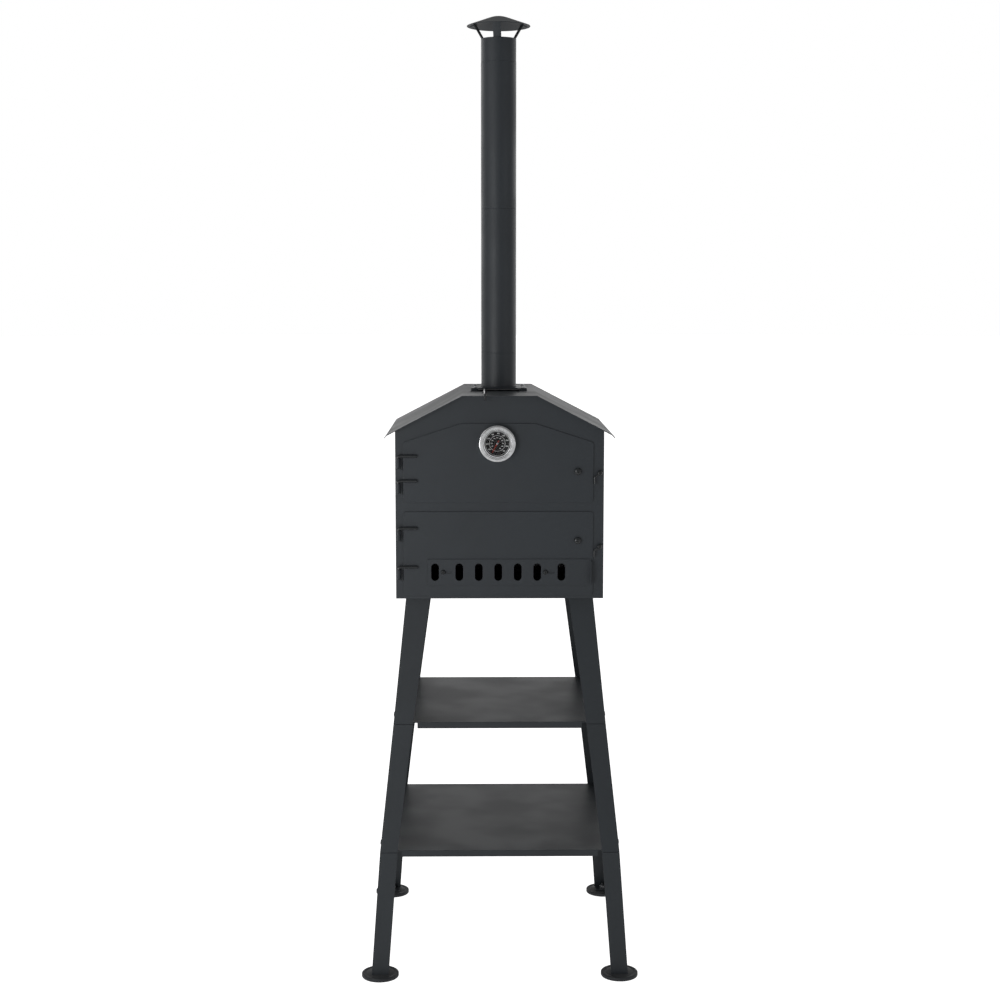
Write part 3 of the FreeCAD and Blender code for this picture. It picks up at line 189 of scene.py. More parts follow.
class OvenSizes(bpy.types.PropertyGroup):
    """Sizes of the finished edges and details"""

    sheet_round: length("Sheet Edge", "Rounding of the edges of sheet parts", 0.00045)
    door_round: length("Door Edge", "Rounding of the edges of the doors", 0.0006)
    small_round: length("Small Edge", "Rounding of the edges of small parts", 0.0003)
    weld: length("Weld Bead", "Radius of a weld bead", 0.0009)
    print_depth: length("Print", "Thickness of the print on the dial", 0.00006)
    thread_pitch: length("Thread Pitch", "Pitch of the bolt threads", 0.0008)
    floor_radius: length("Floor", "Radius of the floor of the stage", 40.0)


# ---- meshes ---------------------------------------------------------------------------------
def merged(node):
    """The mesh of a CAD node as one joined surface."""
    bm = bmesh.new()
    bm.from_mesh(NODES[node].data)
    bmesh.ops.remove_doubles(bm, verts=bm.verts, dist=1e-6)
    return bm


def solids_of(node):
    """The points of each separate solid of a CAD node, in a steady order."""
    bm = merged(node)
    bm.verts.ensure_lookup_table()
    bm.verts.index_update()
    seen = set()
    found = []
    for first in bm.verts:
        if first.index in seen:
            continue
        seen.add(first.index)
        stack = [first]
        points = []
        while stack:
            vert = stack.pop()
            points.append(vert.co.copy())
            for edge in vert.link_edges:
                other = edge.other_vert(vert)
                if other.index not in seen:
                    seen.add(other.index)
                    stack.append(other)
        found.append(points)
    bm.free()
    found.sort(key=lambda points: tuple(round(c, 4) for c in sum(points, Vector()) / len(points)))
    return found


def box_of(points):
    low = Vector(min(p[i] for p in points) for i in range(3))
    high = Vector(max(p[i] for p in points) for i in range(3))
    return low, high


def lathe(bm, outline, steps, place=None, shape=None):
    """Turn a closed outline of (radius, height) points about +Z.

    shape(radius, height, angle) may give another radius.
    """
    place = place or Matrix.Identity(4)
    columns = []
    for i in range(steps):
        angle = FULL * i / steps
        column = []
        for radius, height in outline:
            reach = shape(radius, height, angle) if shape else radius
            point = Vector((reach * math.cos(angle), reach * math.sin(angle), height))
            column.append(bm.verts.new(place @ point))
        columns.append(column)
    made = [v for column in columns for v in column]
    count = len(outline)
    for i in range(steps):
        a, b = columns[i], columns[(i + 1) % steps]
        for j in range(count):
            k = (j + 1) % count
            if outline[j][0] < 1e-9 and outline[k][0] < 1e-9:
                continue
            bm.faces.new((a[j], b[j], b[k], a[k]))
    bmesh.ops.remove_doubles(bm, verts=made, dist=1e-8)


def bent(points, bend, steps=10):
    """A path of straight runs whose corners are rounded to a bend radius."""
    path = [Vector(points[0])]
    for before, corner, after in zip(points, points[1:], points[2:]):
        corner = Vector(corner)
        to_a = (Vector(before) - corner).normalized()
        to_b = (Vector(after) - corner).normalized()
        half = to_a.angle(to_b) / 2
        sweep = math.pi - 2 * half
        start = corner + to_a * (bend / math.tan(half))
        centre = corner + (to_a + to_b).normalized() * (bend / math.sin(half))
        arm = start - centre
        axis = to_b.cross(to_a).normalized()
        for i in range(steps + 1):
            path.append(centre + Matrix.Rotation(sweep * i / steps, 3, axis) @ arm)
    path.append(Vector(points[-1]))
    return path


def tube(bm, path, radius, sides, swell=None):
    """A round bar along a path, with slightly rounded ends. swell(share) may change its radius."""
    path = [Vector(p) for p in path]
    heading = (path[1] - path[0]).normalized()
    across = heading.orthogonal().normalized()
    stations = []
    tip = min(radius * 0.3, (path[1] - path[0]).length * 0.4, (path[-1] - path[-2]).length * 0.4)
    last = len(path) - 1
    for i, point in enumerate(path):
        ahead = path[min(i + 1, last)] - path[max(i - 1, 0)]
        turned = ahead.normalized()
        across = (across - turned * across.dot(turned)).normalized()
        reach = radius * (swell(i / last) if swell else 1.0)
        if i == 0:
            stations.append((point, turned, across, reach - tip))
            stations.append((point + turned * tip, turned, across, reach))
        elif i == last:
            stations.append((point - turned * tip, turned, across, reach))
            stations.append((point, turned, across, reach - tip))
        else:
            stations.append((point, turned, across, reach))
    rings = []
    for point, along, side, reach in stations:
        other = along.cross(side)
        ring = []
        for j in range(sides):
            angle = FULL * j / sides
            offset = side * math.cos(angle) * reach + other * math.sin(angle) * reach
            ring.append(bm.verts.new(point + offset))
        rings.append(ring)
    for a, b in zip(rings, rings[1:]):
        for j in range(sides):
            k = (j + 1) % sides
            bm.faces.new((a[j], a[k], b[k], b[j]))
    bm.faces.new(rings[0][::-1])
    bm.faces.new(rings[-1])


def rippled(height, count):
    """The swelling of a weld bead along its length."""
    return lambda share: 1 + height * abs(math.sin(share * count * math.pi))


def slab(bm, outline, low, high, place):
    """A flat plate: an outline in X and Y between two heights, put in place."""
    bottom = [bm.verts.new(place @ Vector((x, y, low))) for x, y in outline]
    top = [bm.verts.new(place @ Vector((x, y, high))) for x, y in outline]
    count = len(outline)
    bm.faces.new(bottom[::-1])
    bm.faces.new(top)
    for i in range(count):
        j = (i + 1) % count
        bm.faces.new((bottom[i], bottom[j], top[j], top[i]))


def arc(centre_r, centre_h, radius, start, end, steps=5):
    """Points of an outline round a corner, angles in degrees from outward."""
    points = []
    for i in range(steps + 1):
        angle = math.radians(start + (end - start) * i / steps)
        points.append((centre_r + radius * math.cos(angle), centre_h + radius * math.sin(angle)))
    return points


def closed(bm):
    """A smooth mesh from finished geometry, sharp where it turns a corner."""
    bmesh.ops.recalc_face_normals(bm, faces=bm.faces)
    for face in bm.faces:
        face.smooth = True
    mesh = bpy.data.meshes.new("finished")
    bm.to_mesh(mesh)
    bm.free()
    mesh.set_sharp_from_angle(angle=SHARP)
    return mesh


def turned(outline, steps, place=None, shape=None):
    """The finished mesh of an outline turned about +Z."""
    bm = bmesh.new()
    lathe(bm, outline, steps, place, shape)
    return closed(bm)


def linked(name, data):
    """A new object in the scene."""
    obj = bpy.data.objects.new(name, data)
    bpy.context.scene.collection.objects.link(obj)
    return obj


def piece(name, mesh, slot, body, *replaced, look=None):
    """Put a finished mesh in the scene, riding on a body and standing for its CAD nodes.

    look is its finish, where that isn't the one named after the slot.
    """
    mesh.name = name
    obj = linked(name, mesh)
    mesh.materials.append(finish(look or slot))
    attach(obj, body)
    if replaced:
        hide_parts(*replaced)
    return obj


def rounded(node, rounding, name, slot):
    """A copy of a CAD part with whole flat faces and every sharp edge rounded."""
    bm = merged(node)
    bmesh.ops.dissolve_limit(bm, angle_limit=math.radians(0.4), verts=bm.verts, edges=bm.edges)
    mark = bm.faces.layers.float.new(ROUND)
    sharp = [e for e in bm.edges if e.is_manifold and e.calc_face_angle() > SHARP]
    made = bmesh.ops.bevel(
        bm, geom=sharp, offset=rounding, offset_type="OFFSET", segments=ROUND_STEPS,
        profile=0.5, affect="EDGES", clamp_overlap=True,
    )
    for face in bm.faces:
        face[mark] = 0.0
        face.smooth = True
    for face in made["faces"]:
        face[mark] = 1.0
    mesh = bpy.data.meshes.new(name)
    bm.to_mesh(mesh)
    bm.free()
    obj = piece(name, mesh, slot, NODES[node]["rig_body"], node)
    even = obj.modifiers.new("even_shading", "WEIGHTED_NORMAL")
    even.keep_sharp = True


def sheets(nodes, rounding, slot, ending="_sheet"):
    """Rounded copies of CAD parts, each named after its node with an ending."""
    for node in nodes:
        rounded(node, rounding, node + ending, slot)


def smooth_copy(node, name, slot):
    """A copy of a round CAD part, shaded smooth."""
    piece(name, closed(merged(node)), slot, NODES[node]["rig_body"], node)


def cut(mesh, cutter):
    """The mesh less the cutter."""
    body = linked("cut_body", mesh)
    tool = linked("cut_tool", cutter)
    boolean = body.modifiers.new("cut", "BOOLEAN")
    boolean.operation = "DIFFERENCE"
    boolean.solver = "EXACT"
    boolean.object = tool
    view = bpy.context.evaluated_depsgraph_get()
    made = bpy.data.meshes.new_from_object(body.evaluated_get(view))
    bpy.data.objects.remove(body)
    bpy.data.objects.remove(tool)
    for face in made.polygons:
        face.use_smooth = True
    made.set_sharp_from_angle(angle=SHARP)
    return made


def cross_cutter(top, depth, reach, width):
    """A driving cross that narrows as it goes down from a height."""
    half = width / 2
    quarter = [(half, half), (half, reach), (-half, reach)]
    outline = []
    for turns in range(4):
        c, s = ((1, 0), (0, 1), (-1, 0), (0, -1))[turns]
        outline += [(x * c - y * s, x * s + y * c) for x, y in quarter]
    bm = bmesh.new()
    rings = []
    for height, scale in ((top + depth, 1.25), (top - depth, 0.6)):
        rings.append([bm.verts.new((x * scale, y * scale, height)) for x, y in outline])
    upper, lower = rings
    count = len(outline)
    bm.faces.new(upper)
    bm.faces.new(lower[::-1])
    for i in range(count):
        j = (i + 1) % count
        bm.faces.new((lower[i], lower[j], upper[j], upper[i]))
    return closed(bm)


def thread(radius, low, high, pitch, depth):
    """Outline points of a screw thread going up a bar."""
    turns = max(1, int((high - low) / pitch))
    step = (high - low) / turns
    points = []
    for i in range(turns):
        points.append((radius - depth, low + step * i))
        points.append((radius, low + step * (i + 0.5)))
    points.append((radius - depth, high))
    return points


# ---- fasteners ------------------------------------------------------------------------------
def measured(points):
    """Axis and main sizes of a turned or hexagonal solid from its points."""
    cloud = np.array([tuple(p) for p in points], float)
    low, high = cloud.min(0), cloud.max(0)
    centre = cloud.mean(0)
    values, vectors = np.linalg.eigh(np.cov((cloud - centre).T))
    odd = 0 if abs(values[0] - values[1]) > abs(values[1] - values[2]) else 2
    axis = vectors[:, odd]
    along = (cloud - centre) @ axis
    off = np.linalg.norm(cloud - centre - np.outer(along, axis), axis=1)
    span = along.max() - along.min()
    upper = off[along > along.max() - 0.02 * span].max()
    lower = off[along < along.min() + 0.02 * span].max()
    if lower > upper:
        axis, along = -axis, -along
    return {"centre": Vector(centre), "axis": Vector(axis), "along": along, "off": off}


def placed(origin, axis, roll):
    turn = Vector(axis).to_track_quat("Z", "Y").to_matrix().to_4x4()
    return Matrix.Translation(origin) @ turn @ Matrix.Rotation(roll, 4, "Z")


def screw_mesh(head_r, head_h, shank_r, shank_l, collar, pitch):
    """A pan-head screw along +Z, its head above the origin, with a driving cross."""
    edge = head_h * 0.25
    crown_r = head_r * 0.6
    outline = [(0, -shank_l), (shank_r * 0.7, -shank_l)]
    outline += thread(shank_r, -shank_l + shank_r * 0.3, -shank_r * 0.2, pitch, pitch * 0.3)
    outline += [(shank_r, 0), (head_r - edge * 0.4, 0)]
    outline += arc(head_r - edge * 0.5, edge * 0.5, edge * 0.5, -90, 0, 3)
    for i in range(1, 7):
        share = i / 6
        radius = head_r - (head_r - crown_r) * share
        outline.append((radius, edge + (head_h - edge) * math.sin(share * math.pi / 2)))
    outline.append((0, head_h))
    cross = cross_cutter(head_h, head_h * 0.55, head_r * 0.52, head_r * 0.26)
    head = cut(turned(outline, SCREW_STEPS), cross)
    if collar:
        bm = bmesh.new()
        bm.from_mesh(head)
        radius, low, high = collar
        lip = (high - low) * 0.15
        ring = [(shank_r, low), (radius - lip, low), (radius, low + lip), (radius, high - lip),
                (radius - lip, high), (shank_r, high)]
        lathe(bm, ring, SCREW_STEPS)
        head = closed(bm)
    return head


def nut_mesh(across, height, bore_r, pitch):
    """A hexagonal nut from the origin up, with chamfered corners and a threaded bore."""
    flat = across / 2
    corner = flat / math.cos(math.pi / 6)
    rise = (corner - flat) * 0.6

    def hexagon(radius, level, angle):
        if radius < flat * 0.95:
            return radius
        turn = (angle + math.pi / 6) % (math.pi / 3) - math.pi / 6
        edge = min(level, height - level)
        cone = flat * 0.98 + (corner - flat * 0.98) * min(1.0, edge / rise)
        return min(flat / math.cos(turn), cone)

    levels = [0.0, rise * 0.33, rise * 0.66, rise]
    root_r = bore_r + pitch * 0.3
    outline = [(root_r, 0)]
    outline += [(flat, level) for level in levels]
    outline += [(flat, height - level) for level in levels[::-1]]
    outline += [(root_r, height)]
    outline += thread(root_r, pitch * 0.4, height - pitch * 0.4, pitch, pitch * 0.3)[::-1]
    return turned(outline, ROUND_SIDES, shape=hexagon)


def add_copies(bm, mesh, places):
    for place in places:
        copy = mesh.copy()
        copy.transform(place)
        bm.from_mesh(copy)
        bpy.data.meshes.remove(copy)


def screws(node, name, body, slot, seed):
    """Every screw of a CAD node as a finished screw in its own place."""
    pitch = bpy.context.scene.oven_sizes.thread_pitch
    rolls = random.Random(seed)
    bm = bmesh.new()
    unit = None
    for points in solids_of(node):
        got = measured(points)
        along, off = got["along"], got["off"]
        head_r = off.max()
        under = along[off > head_r * 0.99].min()
        head_h = along.max() - under
        shank_r = off[along < along.min() + 1e-5].max()
        middle = (off > shank_r * 1.1) & (off < head_r * 0.95) & (along < under - 1e-5)
        collar = None
        if middle.any():
            collar = (off[middle].max(), along[middle].min() - under, along[middle].max() - under)
        if unit is None:
            unit = screw_mesh(head_r, head_h, shank_r, under - along.min(), collar, pitch)
        origin = got["centre"] + got["axis"] * under
        add_copies(bm, unit, [placed(origin, got["axis"], rolls.uniform(0, FULL))])
    piece(name, closed(bm), slot, body, node)


def nuts(node, name, body):
    """Every nut of a CAD node as a finished nut in its own place."""
    pitch = bpy.context.scene.oven_sizes.thread_pitch
    bm = bmesh.new()
    unit = None
    for points in solids_of(node):
        got = measured(points)
        along, off = got["along"], got["off"]
        corner = off.max()
        low = along.min()
        if unit is None:
            unit = nut_mesh(corner * 2 * math.cos(math.pi / 6), along.max() - low, off.min(), pitch)
        rim = [p for p, reach in zip(points, off) if reach > corner * 0.999]
        spoke = rim[0] - got["centre"]
        spoke -= got["axis"] * spoke.dot(got["axis"])
        base = placed(got["centre"] + got["axis"] * low, got["axis"], 0.0)
        flat = base.to_3x3().inverted() @ spoke
        roll = math.atan2(flat.y, flat.x) + math.pi / 6
        add_copies(bm, unit, [base @ Matrix.Rotation(roll, 4, "Z")])
    piece(name, closed(bm), "zinc", body, node)


# ---- shader building ------------------------------------------------------------------------
def feed(tree, made, inputs):
    """Set sockets of a shader node, by name or place, to a value or a socket that feeds them."""
    for key, value in inputs.items():
        if isinstance(value, bpy.types.NodeSocket):
            tree.links.new(value, made.inputs[key])
        else:
            made.inputs[key].default_value = value


def shader(tree, kind, inputs=None, **settings):
    """Add a shader node with its settings and inputs."""
    made = tree.nodes.new(kind)
    for key, value in settings.items():
        setattr(made, key, value)
    feed(tree, made, inputs or {})
    made.location = (220 * (len(tree.nodes) % 6), -260 * (len(tree.nodes) // 6))
    return made


def maths(tree, operation, first, second):
    return shader(tree, "ShaderNodeMath", {0: first, 1: second}, operation=operation).outputs[0]


def ranged(tree, value, low, high, to_low=0.0, to_high=1.0):
    """A value brought smoothly from one range to another."""
    made = shader(
        tree, "ShaderNodeMapRange",
        {"Value": value, "From Min": low, "From Max": high, "To Min": to_low, "To Max": to_high},
        interpolation_type="SMOOTHSTEP",
    )
    return made.outputs["Result"]


def mixed(tree, share, first, second):
    """Two colours mixed by a share."""
    inputs = {0: share}
    for key, value in ((6, first), (7, second)):
        inputs[key] = value if isinstance(value, bpy.types.NodeSocket) else (*value[:3], 1.0)
    return shader(tree, "ShaderNodeMix", inputs, data_type="RGBA").outputs[2]


def noise(tree, scale, detail, place, rough=0.5):
    inputs = {"Vector": place, "Scale": scale, "Detail": detail, "Roughness": rough}
    return shader(tree, "ShaderNodeTexNoise", inputs).outputs["Fac"]


def group(name, inputs, outputs, build):
    """A node group with named inputs and outputs, built once."""
    found = bpy.data.node_groups.get(name)
    if found:
        return found
    tree = bpy.data.node_groups.new(name, "ShaderNodeTree")
    number = "NodeSocketFloat"
    for label, default in inputs.items():
        socket = tree.interface.new_socket(name=label, in_out="INPUT", socket_type=number)
        socket.default_value = default
    for label in outputs:
        tree.interface.new_socket(name=label, in_out="OUTPUT", socket_type=number)
    given = tree.nodes.new("NodeGroupInput").outputs
    out = tree.nodes.new("NodeGroupOutput")
    place = shader(tree, "ShaderNodeTexCoord").outputs
    for label, value in zip(outputs, build(tree, given, place)):
        tree.links.new(value, out.inputs[label])
    return tree


def sprayed_grain():
    """Fine orange peel of a sprayed coat, and its slow drift in tone."""

    def build(tree, given, place):
        fine = noise(tree, given["Grains per Metre"], 3.0, place["Object"])
        slow = noise(tree, given["Patches per Metre"], 2.0, place["Object"])
        return fine, ranged(tree, slow, 0.3, 0.7)

    inputs = {"Grains per Metre": 1100.0, "Patches per Metre": 9.0}
    return group("Sprayed Grain", inputs, ["Height", "Tone"], build)


def settled_dust():
    """Dust on faces that look up, in soft patches."""

    def build(tree, given, place):
        up = shader(tree, "ShaderNodeSeparateXYZ", {0: place["Normal"]}).outputs["Z"]
        level = ranged(tree, up, 0.55, 0.98)
        patch = noise(tree, given["Patches per Metre"], 5.0, place["Object"], 0.6)
        cover = maths(tree, "MULTIPLY", level, ranged(tree, patch, 0.25, 0.75, 0.35, 1.0))
        return (maths(tree, "MULTIPLY", cover, given["Amount"]),)

    return group("Settled Dust", {"Amount": 0.1, "Patches per Metre": 30.0}, ["Mask"], build)


def rubbed_edges():
    """Where the rounded edges of sheet are rubbed."""

    def build(tree, given, place):
        edge = shader(tree, "ShaderNodeAttribute", attribute_name=ROUND).outputs["Fac"]
        worn = noise(tree, given["Patches per Metre"], 4.0, place["Object"], 0.65)
        part = maths(tree, "MULTIPLY", edge, ranged(tree, worn, 0.4, 0.68, 0.25, 1.0))
        return (maths(tree, "MULTIPLY", part, given["Amount"]),)

    return group("Rubbed Edges", {"Amount": 0.5, "Patches per Metre": 60.0}, ["Mask"], build)


def rolled_lines():
    """Long fine lines left by rolling or turning metal, and patches of tone."""

    def build(tree, given, place):
        along = {i: given["Along " + axis] for i, axis in enumerate("XYZ")}
        stretch = shader(tree, "ShaderNodeCombineXYZ", along).outputs[0]
        both = {0: place["Object"], 1: stretch}
        scaled = shader(tree, "ShaderNodeVectorMath", both, operation="MULTIPLY")
        lines = noise(tree, 1.0, 2.0, scaled.outputs[0])
        patch = noise(tree, given["Patches per Metre"], 3.0, place["Object"], 0.6)
        return lines, ranged(tree, patch, 0.3, 0.7)

    inputs = {"Along X": 40.0, "Along Y": 40.0, "Along Z": 2500.0, "Patches per Metre": 120.0}
    return group("Rolled Lines", inputs, ["Height", "Tone"], build)


def fire_stain():
    """Uneven stain from heat and smoke."""

    def build(tree, given, place):
        broad = noise(tree, given["Patches per Metre"], 6.0, place["Object"], 0.7)
        return (maths(tree, "MULTIPLY", ranged(tree, broad, 0.42, 0.72), given["Amount"]),)

    return group("Fire Stain", {"Amount": 0.3, "Patches per Metre": 12.0}, ["Mask"], build)


def use(tree, made, **values):
    """Place a group in a material with its own values. Names are written with underscores."""
    block = tree.nodes.new("ShaderNodeGroup")
    block.node_tree = made
    for key, value in values.items():
        block.inputs[key.replace("_", " ")].default_value = value
    block.location = (-900, -260 * len(tree.nodes))
    return block.outputs


def blank(name):
    """A new material with one Principled shader. Gives its tree and the shader."""
    material = bpy.data.materials.new(name)
    material.use_nodes = True
    tree = material.node_tree
    tree.nodes.clear()
    bsdf = tree.nodes.new("ShaderNodeBsdfPrincipled")
    out = tree.nodes.new("ShaderNodeOutputMaterial")
    bsdf.location = (600, 0)
    out.location = (900, 0)
    tree.links.new(bsdf.outputs["BSDF"], out.inputs["Surface"])
    return material, tree, bsdf


def bumped(tree, bsdf, height, depth, strength=1.0):
    inputs = {"Height": height, "Distance": depth, "Strength": strength}
    bump = shader(tree, "ShaderNodeBump", inputs)
    tree.links.new(bump.outputs["Normal"], bsdf.inputs["Normal"])


def scaled_colour(value, by):
    return tuple(min(1.0, c * by) for c in value)


def toned(tree, share, base, dark, light):
    """A colour that goes from darker to lighter with a share."""
    return mixed(tree, share, scaled_colour(base, dark), scaled_colour(base, light))


def coat(name, base, rough, spread, grain, depth, dust, rub):
    """A sprayed coat: grain, slow tone, dust on level faces and rubbed edges."""
    colours = bpy.context.scene.oven_colours
    material, tree, bsdf = blank(name)
    spray = use(tree, sprayed_grain(), Grains_per_Metre=grain)
    settled = use(tree, settled_dust(), Amount=dust)
    rubbed = use(tree, rubbed_edges(), Amount=rub)
    tone = toned(tree, spray["Tone"], base, 1 - spread, 1 + spread)
    worn = mixed(tree, rubbed["Mask"], tone, colours.rubbed)
    dusty = mixed(tree, settled["Mask"], worn, colours.dust)
    gloss = ranged(tree, spray["Tone"], 0.0, 1.0, rough + 0.035, rough - 0.035)
    dull = maths(tree, "ADD", gloss, settled["Mask"])
    feed(tree, bsdf, {"Base Color": dusty, "Roughness": dull})
    bumped(tree, bsdf, spray["Height"], depth, 0.6)
    return material


def metal(name, base, rough, stretch, depth, stain):
    """Bare or plated metal: rolled lines, uneven tone and some stain."""
    material, tree, bsdf = blank(name)
    lines = use(tree, rolled_lines(), Along_X=stretch[0], Along_Y=stretch[1], Along_Z=stretch[2])
    marks = use(tree, fire_stain(), Amount=stain, Patches_per_Metre=45.0)
    tone = toned(tree, lines["Tone"], base, 0.86, 1.1)
    stained = mixed(tree, marks["Mask"], tone, scaled_colour(base, 0.35))
    gloss = ranged(tree, lines["Tone"], 0.0, 1.0, rough + 0.06, rough - 0.04)
    dull = maths(tree, "ADD", gloss, maths(tree, "MULTIPLY", marks["Mask"], 0.3))
    feed(tree, bsdf, {"Base Color": stained, "Roughness": dull, "Metallic": 1.0})
    bumped(tree, bsdf, lines["Height"], depth, 0.5)
    return material


def fire_clay(name, base):
    """Pressed fire clay: coarse specks, pores and a little smoke."""
    material, tree, bsdf = blank(name)
    spray = use(tree, sprayed_grain(), Grains_per_Metre=420.0, Patches_per_Metre=28.0)
    marks = use(tree, fire_stain(), Amount=0.35, Patches_per_Metre=9.0)
    place = shader(tree, "ShaderNodeTexCoord").outputs["Object"]
    pores = shader(tree, "ShaderNodeTexVoronoi", {"Vector": place, "Scale": 260.0})
    speck = ranged(tree, pores.outputs["Distance"], 0.08, 0.22, 1.0, 0.0)
    tone = toned(tree, spray["Tone"], base, 0.82, 1.12)
    specked = mixed(tree, speck, tone, scaled_colour(base, 0.45))
    smoked = mixed(tree, marks["Mask"], specked, (0.09, 0.07, 0.055))
    feed(tree, bsdf, {"Base Color": smoked, "Roughness": 0.92})
    height = maths(tree, "SUBTRACT", spray["Height"], maths(tree, "MULTIPLY", speck, 0.8))
    bumped(tree, bsdf, height, 0.0009)
    return material


def paint(name, base, rough, depth):
    """A flat printed or painted face."""
    material, tree, bsdf = blank(name)
    spray = use(tree, sprayed_grain(), Grains_per_Metre=2600.0, Patches_per_Metre=180.0)
    tone = toned(tree, spray["Tone"], base, 0.94, 1.06)
    feed(tree, bsdf, {"Base Color": tone, "Roughness": rough, "Specular IOR Level": 0.15})
    bumped(tree, bsdf, spray["Height"], depth, 0.4)
    return material


def clear_glass(name):
    """Clear pane with a trace of dust in its roughness."""
    material, tree, bsdf = blank(name)
    spray = use(tree, sprayed_grain(), Grains_per_Metre=900.0, Patches_per_Metre=70.0)
    feed(tree, bsdf, {
        "Base Color": (0.98, 0.99, 0.99, 1.0), "Transmission Weight": 1.0, "IOR": 1.25,
        "Roughness": ranged(tree, spray["Tone"], 0.0, 1.0, 0.0, 0.01),
    })
    return material


# Maker, colour and own values of each finish
FINISHES = {
    # roughness, spread of tone, grains per metre, grain depth, dust, rubbing
    "body_coat": (coat, "body_coat", 0.48, 0.07, 1100.0, 0.00010, 0.01, 0.15),
    "stand_coat": (coat, "stand_coat", 0.48, 0.08, 1000.0, 0.00012, 0.02, 0.15),
    "foot_coat": (coat, "foot_coat", 0.55, 0.10, 700.0, 0.00012, 0.10, 0.3),
    "rod_coat": (coat, "rod_coat", 0.24, 0.08, 1600.0, 0.00004, 0.02, 0.25),
    # roughness, lines per metre along X, Y and Z, their depth, stain
    "zinc": (metal, "zinc", 0.26, (900.0, 900.0, 900.0), 0.00002, 0.2),
    "inner_steel": (metal, "steel", 0.42, (60.0, 2200.0, 2200.0), 0.00004, 0.6),
    "bezel_chrome": (metal, "chrome", 0.07, (300.0, 300.0, 300.0), 0.00001, 0.02),
    "fireclay": (fire_clay, "stone"),
    # roughness, grain depth
    "dial_face": (paint, "dial", 0.35, 0.00002),
    "dial_print": (paint, "ink", 0.5, 0.00001),
    "needle_red": (paint, "needle", 0.3, 0.00001),
}


def finish(name):
    """The material of a finish, made the first time it is asked for."""
    label = name.replace("_", " ").capitalize() + " finish"
    found = bpy.data.materials.get(label)
    if found:
        return found
    if name == "lens_glass":
        return clear_glass(label)
    make, tint, *values = FINISHES[name]
    return make(label, getattr(bpy.context.scene.oven_colours, tint), *values)


# ---- operators ------------------------------------------------------------------------------
class Builder(bpy.types.Operator):
    """Shared running of the building operators"""

    bl_options = {"REGISTER", "UNDO"}

    def execute(self, context):
        self.build(context.scene.oven_sizes)
        return {"FINISHED"}


class OVEN_OT_body(Builder):
    """Build the panels of the oven body with rounded sheet edges"""

    bl_idname = "oven.body"
    bl_label = "Body Panels"

    def build(self, sizes):
        sides = ("back_panel", "left_side_panel", "right_side_panel", "floor_plate")
        sheets(("front_frame", *sides), sizes.sheet_round, "body_coat")


class OVEN_OT_roof(Builder):
    """Build the folded roof sheet"""

    bl_idname = "oven.roof"
    bl_label = "Roof"

    def build(self, sizes):
        sheets(("roof",), sizes.small_round, "body_coat")


class OVEN_OT_doors(Builder):
    """Build both doors, with the weld beads that hold their hinge rods"""

    bl_idname = "oven.doors"
    bl_label = "Doors"

    def build(self, sizes):
        for door in DOORS:
            rounded(door, sizes.door_round, door + "_plate", "body_coat")
            self.welds(door, sizes)

    def welds(self, door, sizes):
        low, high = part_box(door)
        bm = bmesh.new()
        jitter = random.Random(door)
        for points in solids_of(door + "_hinge_rods"):
            rod_low, rod_high = box_of(points)
            rod_r = (rod_high.y - rod_low.y) / 2
            rod_z = rod_high.z - rod_r
            for side in (-1, 1):
                z = rod_z + side * rod_r * BEAD_SEAT
                y = low.y - sizes.weld * 0.45
                start = low.x + rod_r * 1.6
                end = rod_high.x - rod_r * 0.6
                path = []
                for i in range(BEAD_POINTS):
                    x = start + (end - start) * i / (BEAD_POINTS - 1)
                    path.append((x, y, z + side * jitter.uniform(0, BEAD_STRAY) * sizes.weld))
                tube(bm, path, sizes.weld, 12, rippled(0.16, RIPPLES))
        piece(door + "_welds", closed(bm), "body_coat", door)


class OVEN_OT_hinge_rods(Builder):
    """Build the bent hinge rods of both doors"""

    bl_idname = "oven.hinge_rods"
    bl_label = "Hinge Rods"

    def build(self, sizes):
        for door in DOORS:
            node = door + "_hinge_rods"
            bm = bmesh.new()
            for points in solids_of(node):
                low, high = box_of(points)
                radius = (high.y - low.y) / 2
                y = (low.y + high.y) / 2
                corner = (low.x + radius, y, high.z - radius)
                path = bent([(high.x, y, corner[2]), corner, (corner[0], y, low.z)], radius * 1.6)
                tube(bm, path, radius, 28)
            piece(door + "_bent_rods", closed(bm), "rod_coat", door, node)


class OVEN_OT_knobs(Builder):
    """Build the small domed knobs, each with a driving cross"""

    bl_idname = "oven.knobs"
    bl_label = "Door Knobs"

    def build(self, sizes):
        for door in DOORS:
            low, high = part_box(door + "_knob")
            radius = (high.x - low.x) / 2
            height = high.y - low.y
            neck = height / 3
            lip = (height - neck) * 0.22
            outline = [(0, 0), (radius * 0.52, 0), (radius * 0.52, neck), (radius - lip, neck)]
            outline += arc(radius - lip, neck + lip, lip, -90, 10, 5)
            crown = neck + lip * 1.2
            for i in range(1, 9):
                share = i / 8
                rise = (height - neck - lip * 1.2) * math.sin(share * math.pi / 2)
                outline.append((radius * math.cos(share * 1.25), crown + rise))
            outline.append((0, height))
            cross = cross_cutter(height, height * 0.2, radius * 0.5, radius * 0.22)
            mesh = cut(turned(outline, SMALL_SIDES), cross)
            middle = Vector(((low.x + high.x) / 2, high.y, (low.z + high.z) / 2))
            mesh.transform(placed(middle, OUTWARD, math.radians(20)))
            piece(door + "_turned_knob", mesh, "rod_coat", door, door + "_knob")


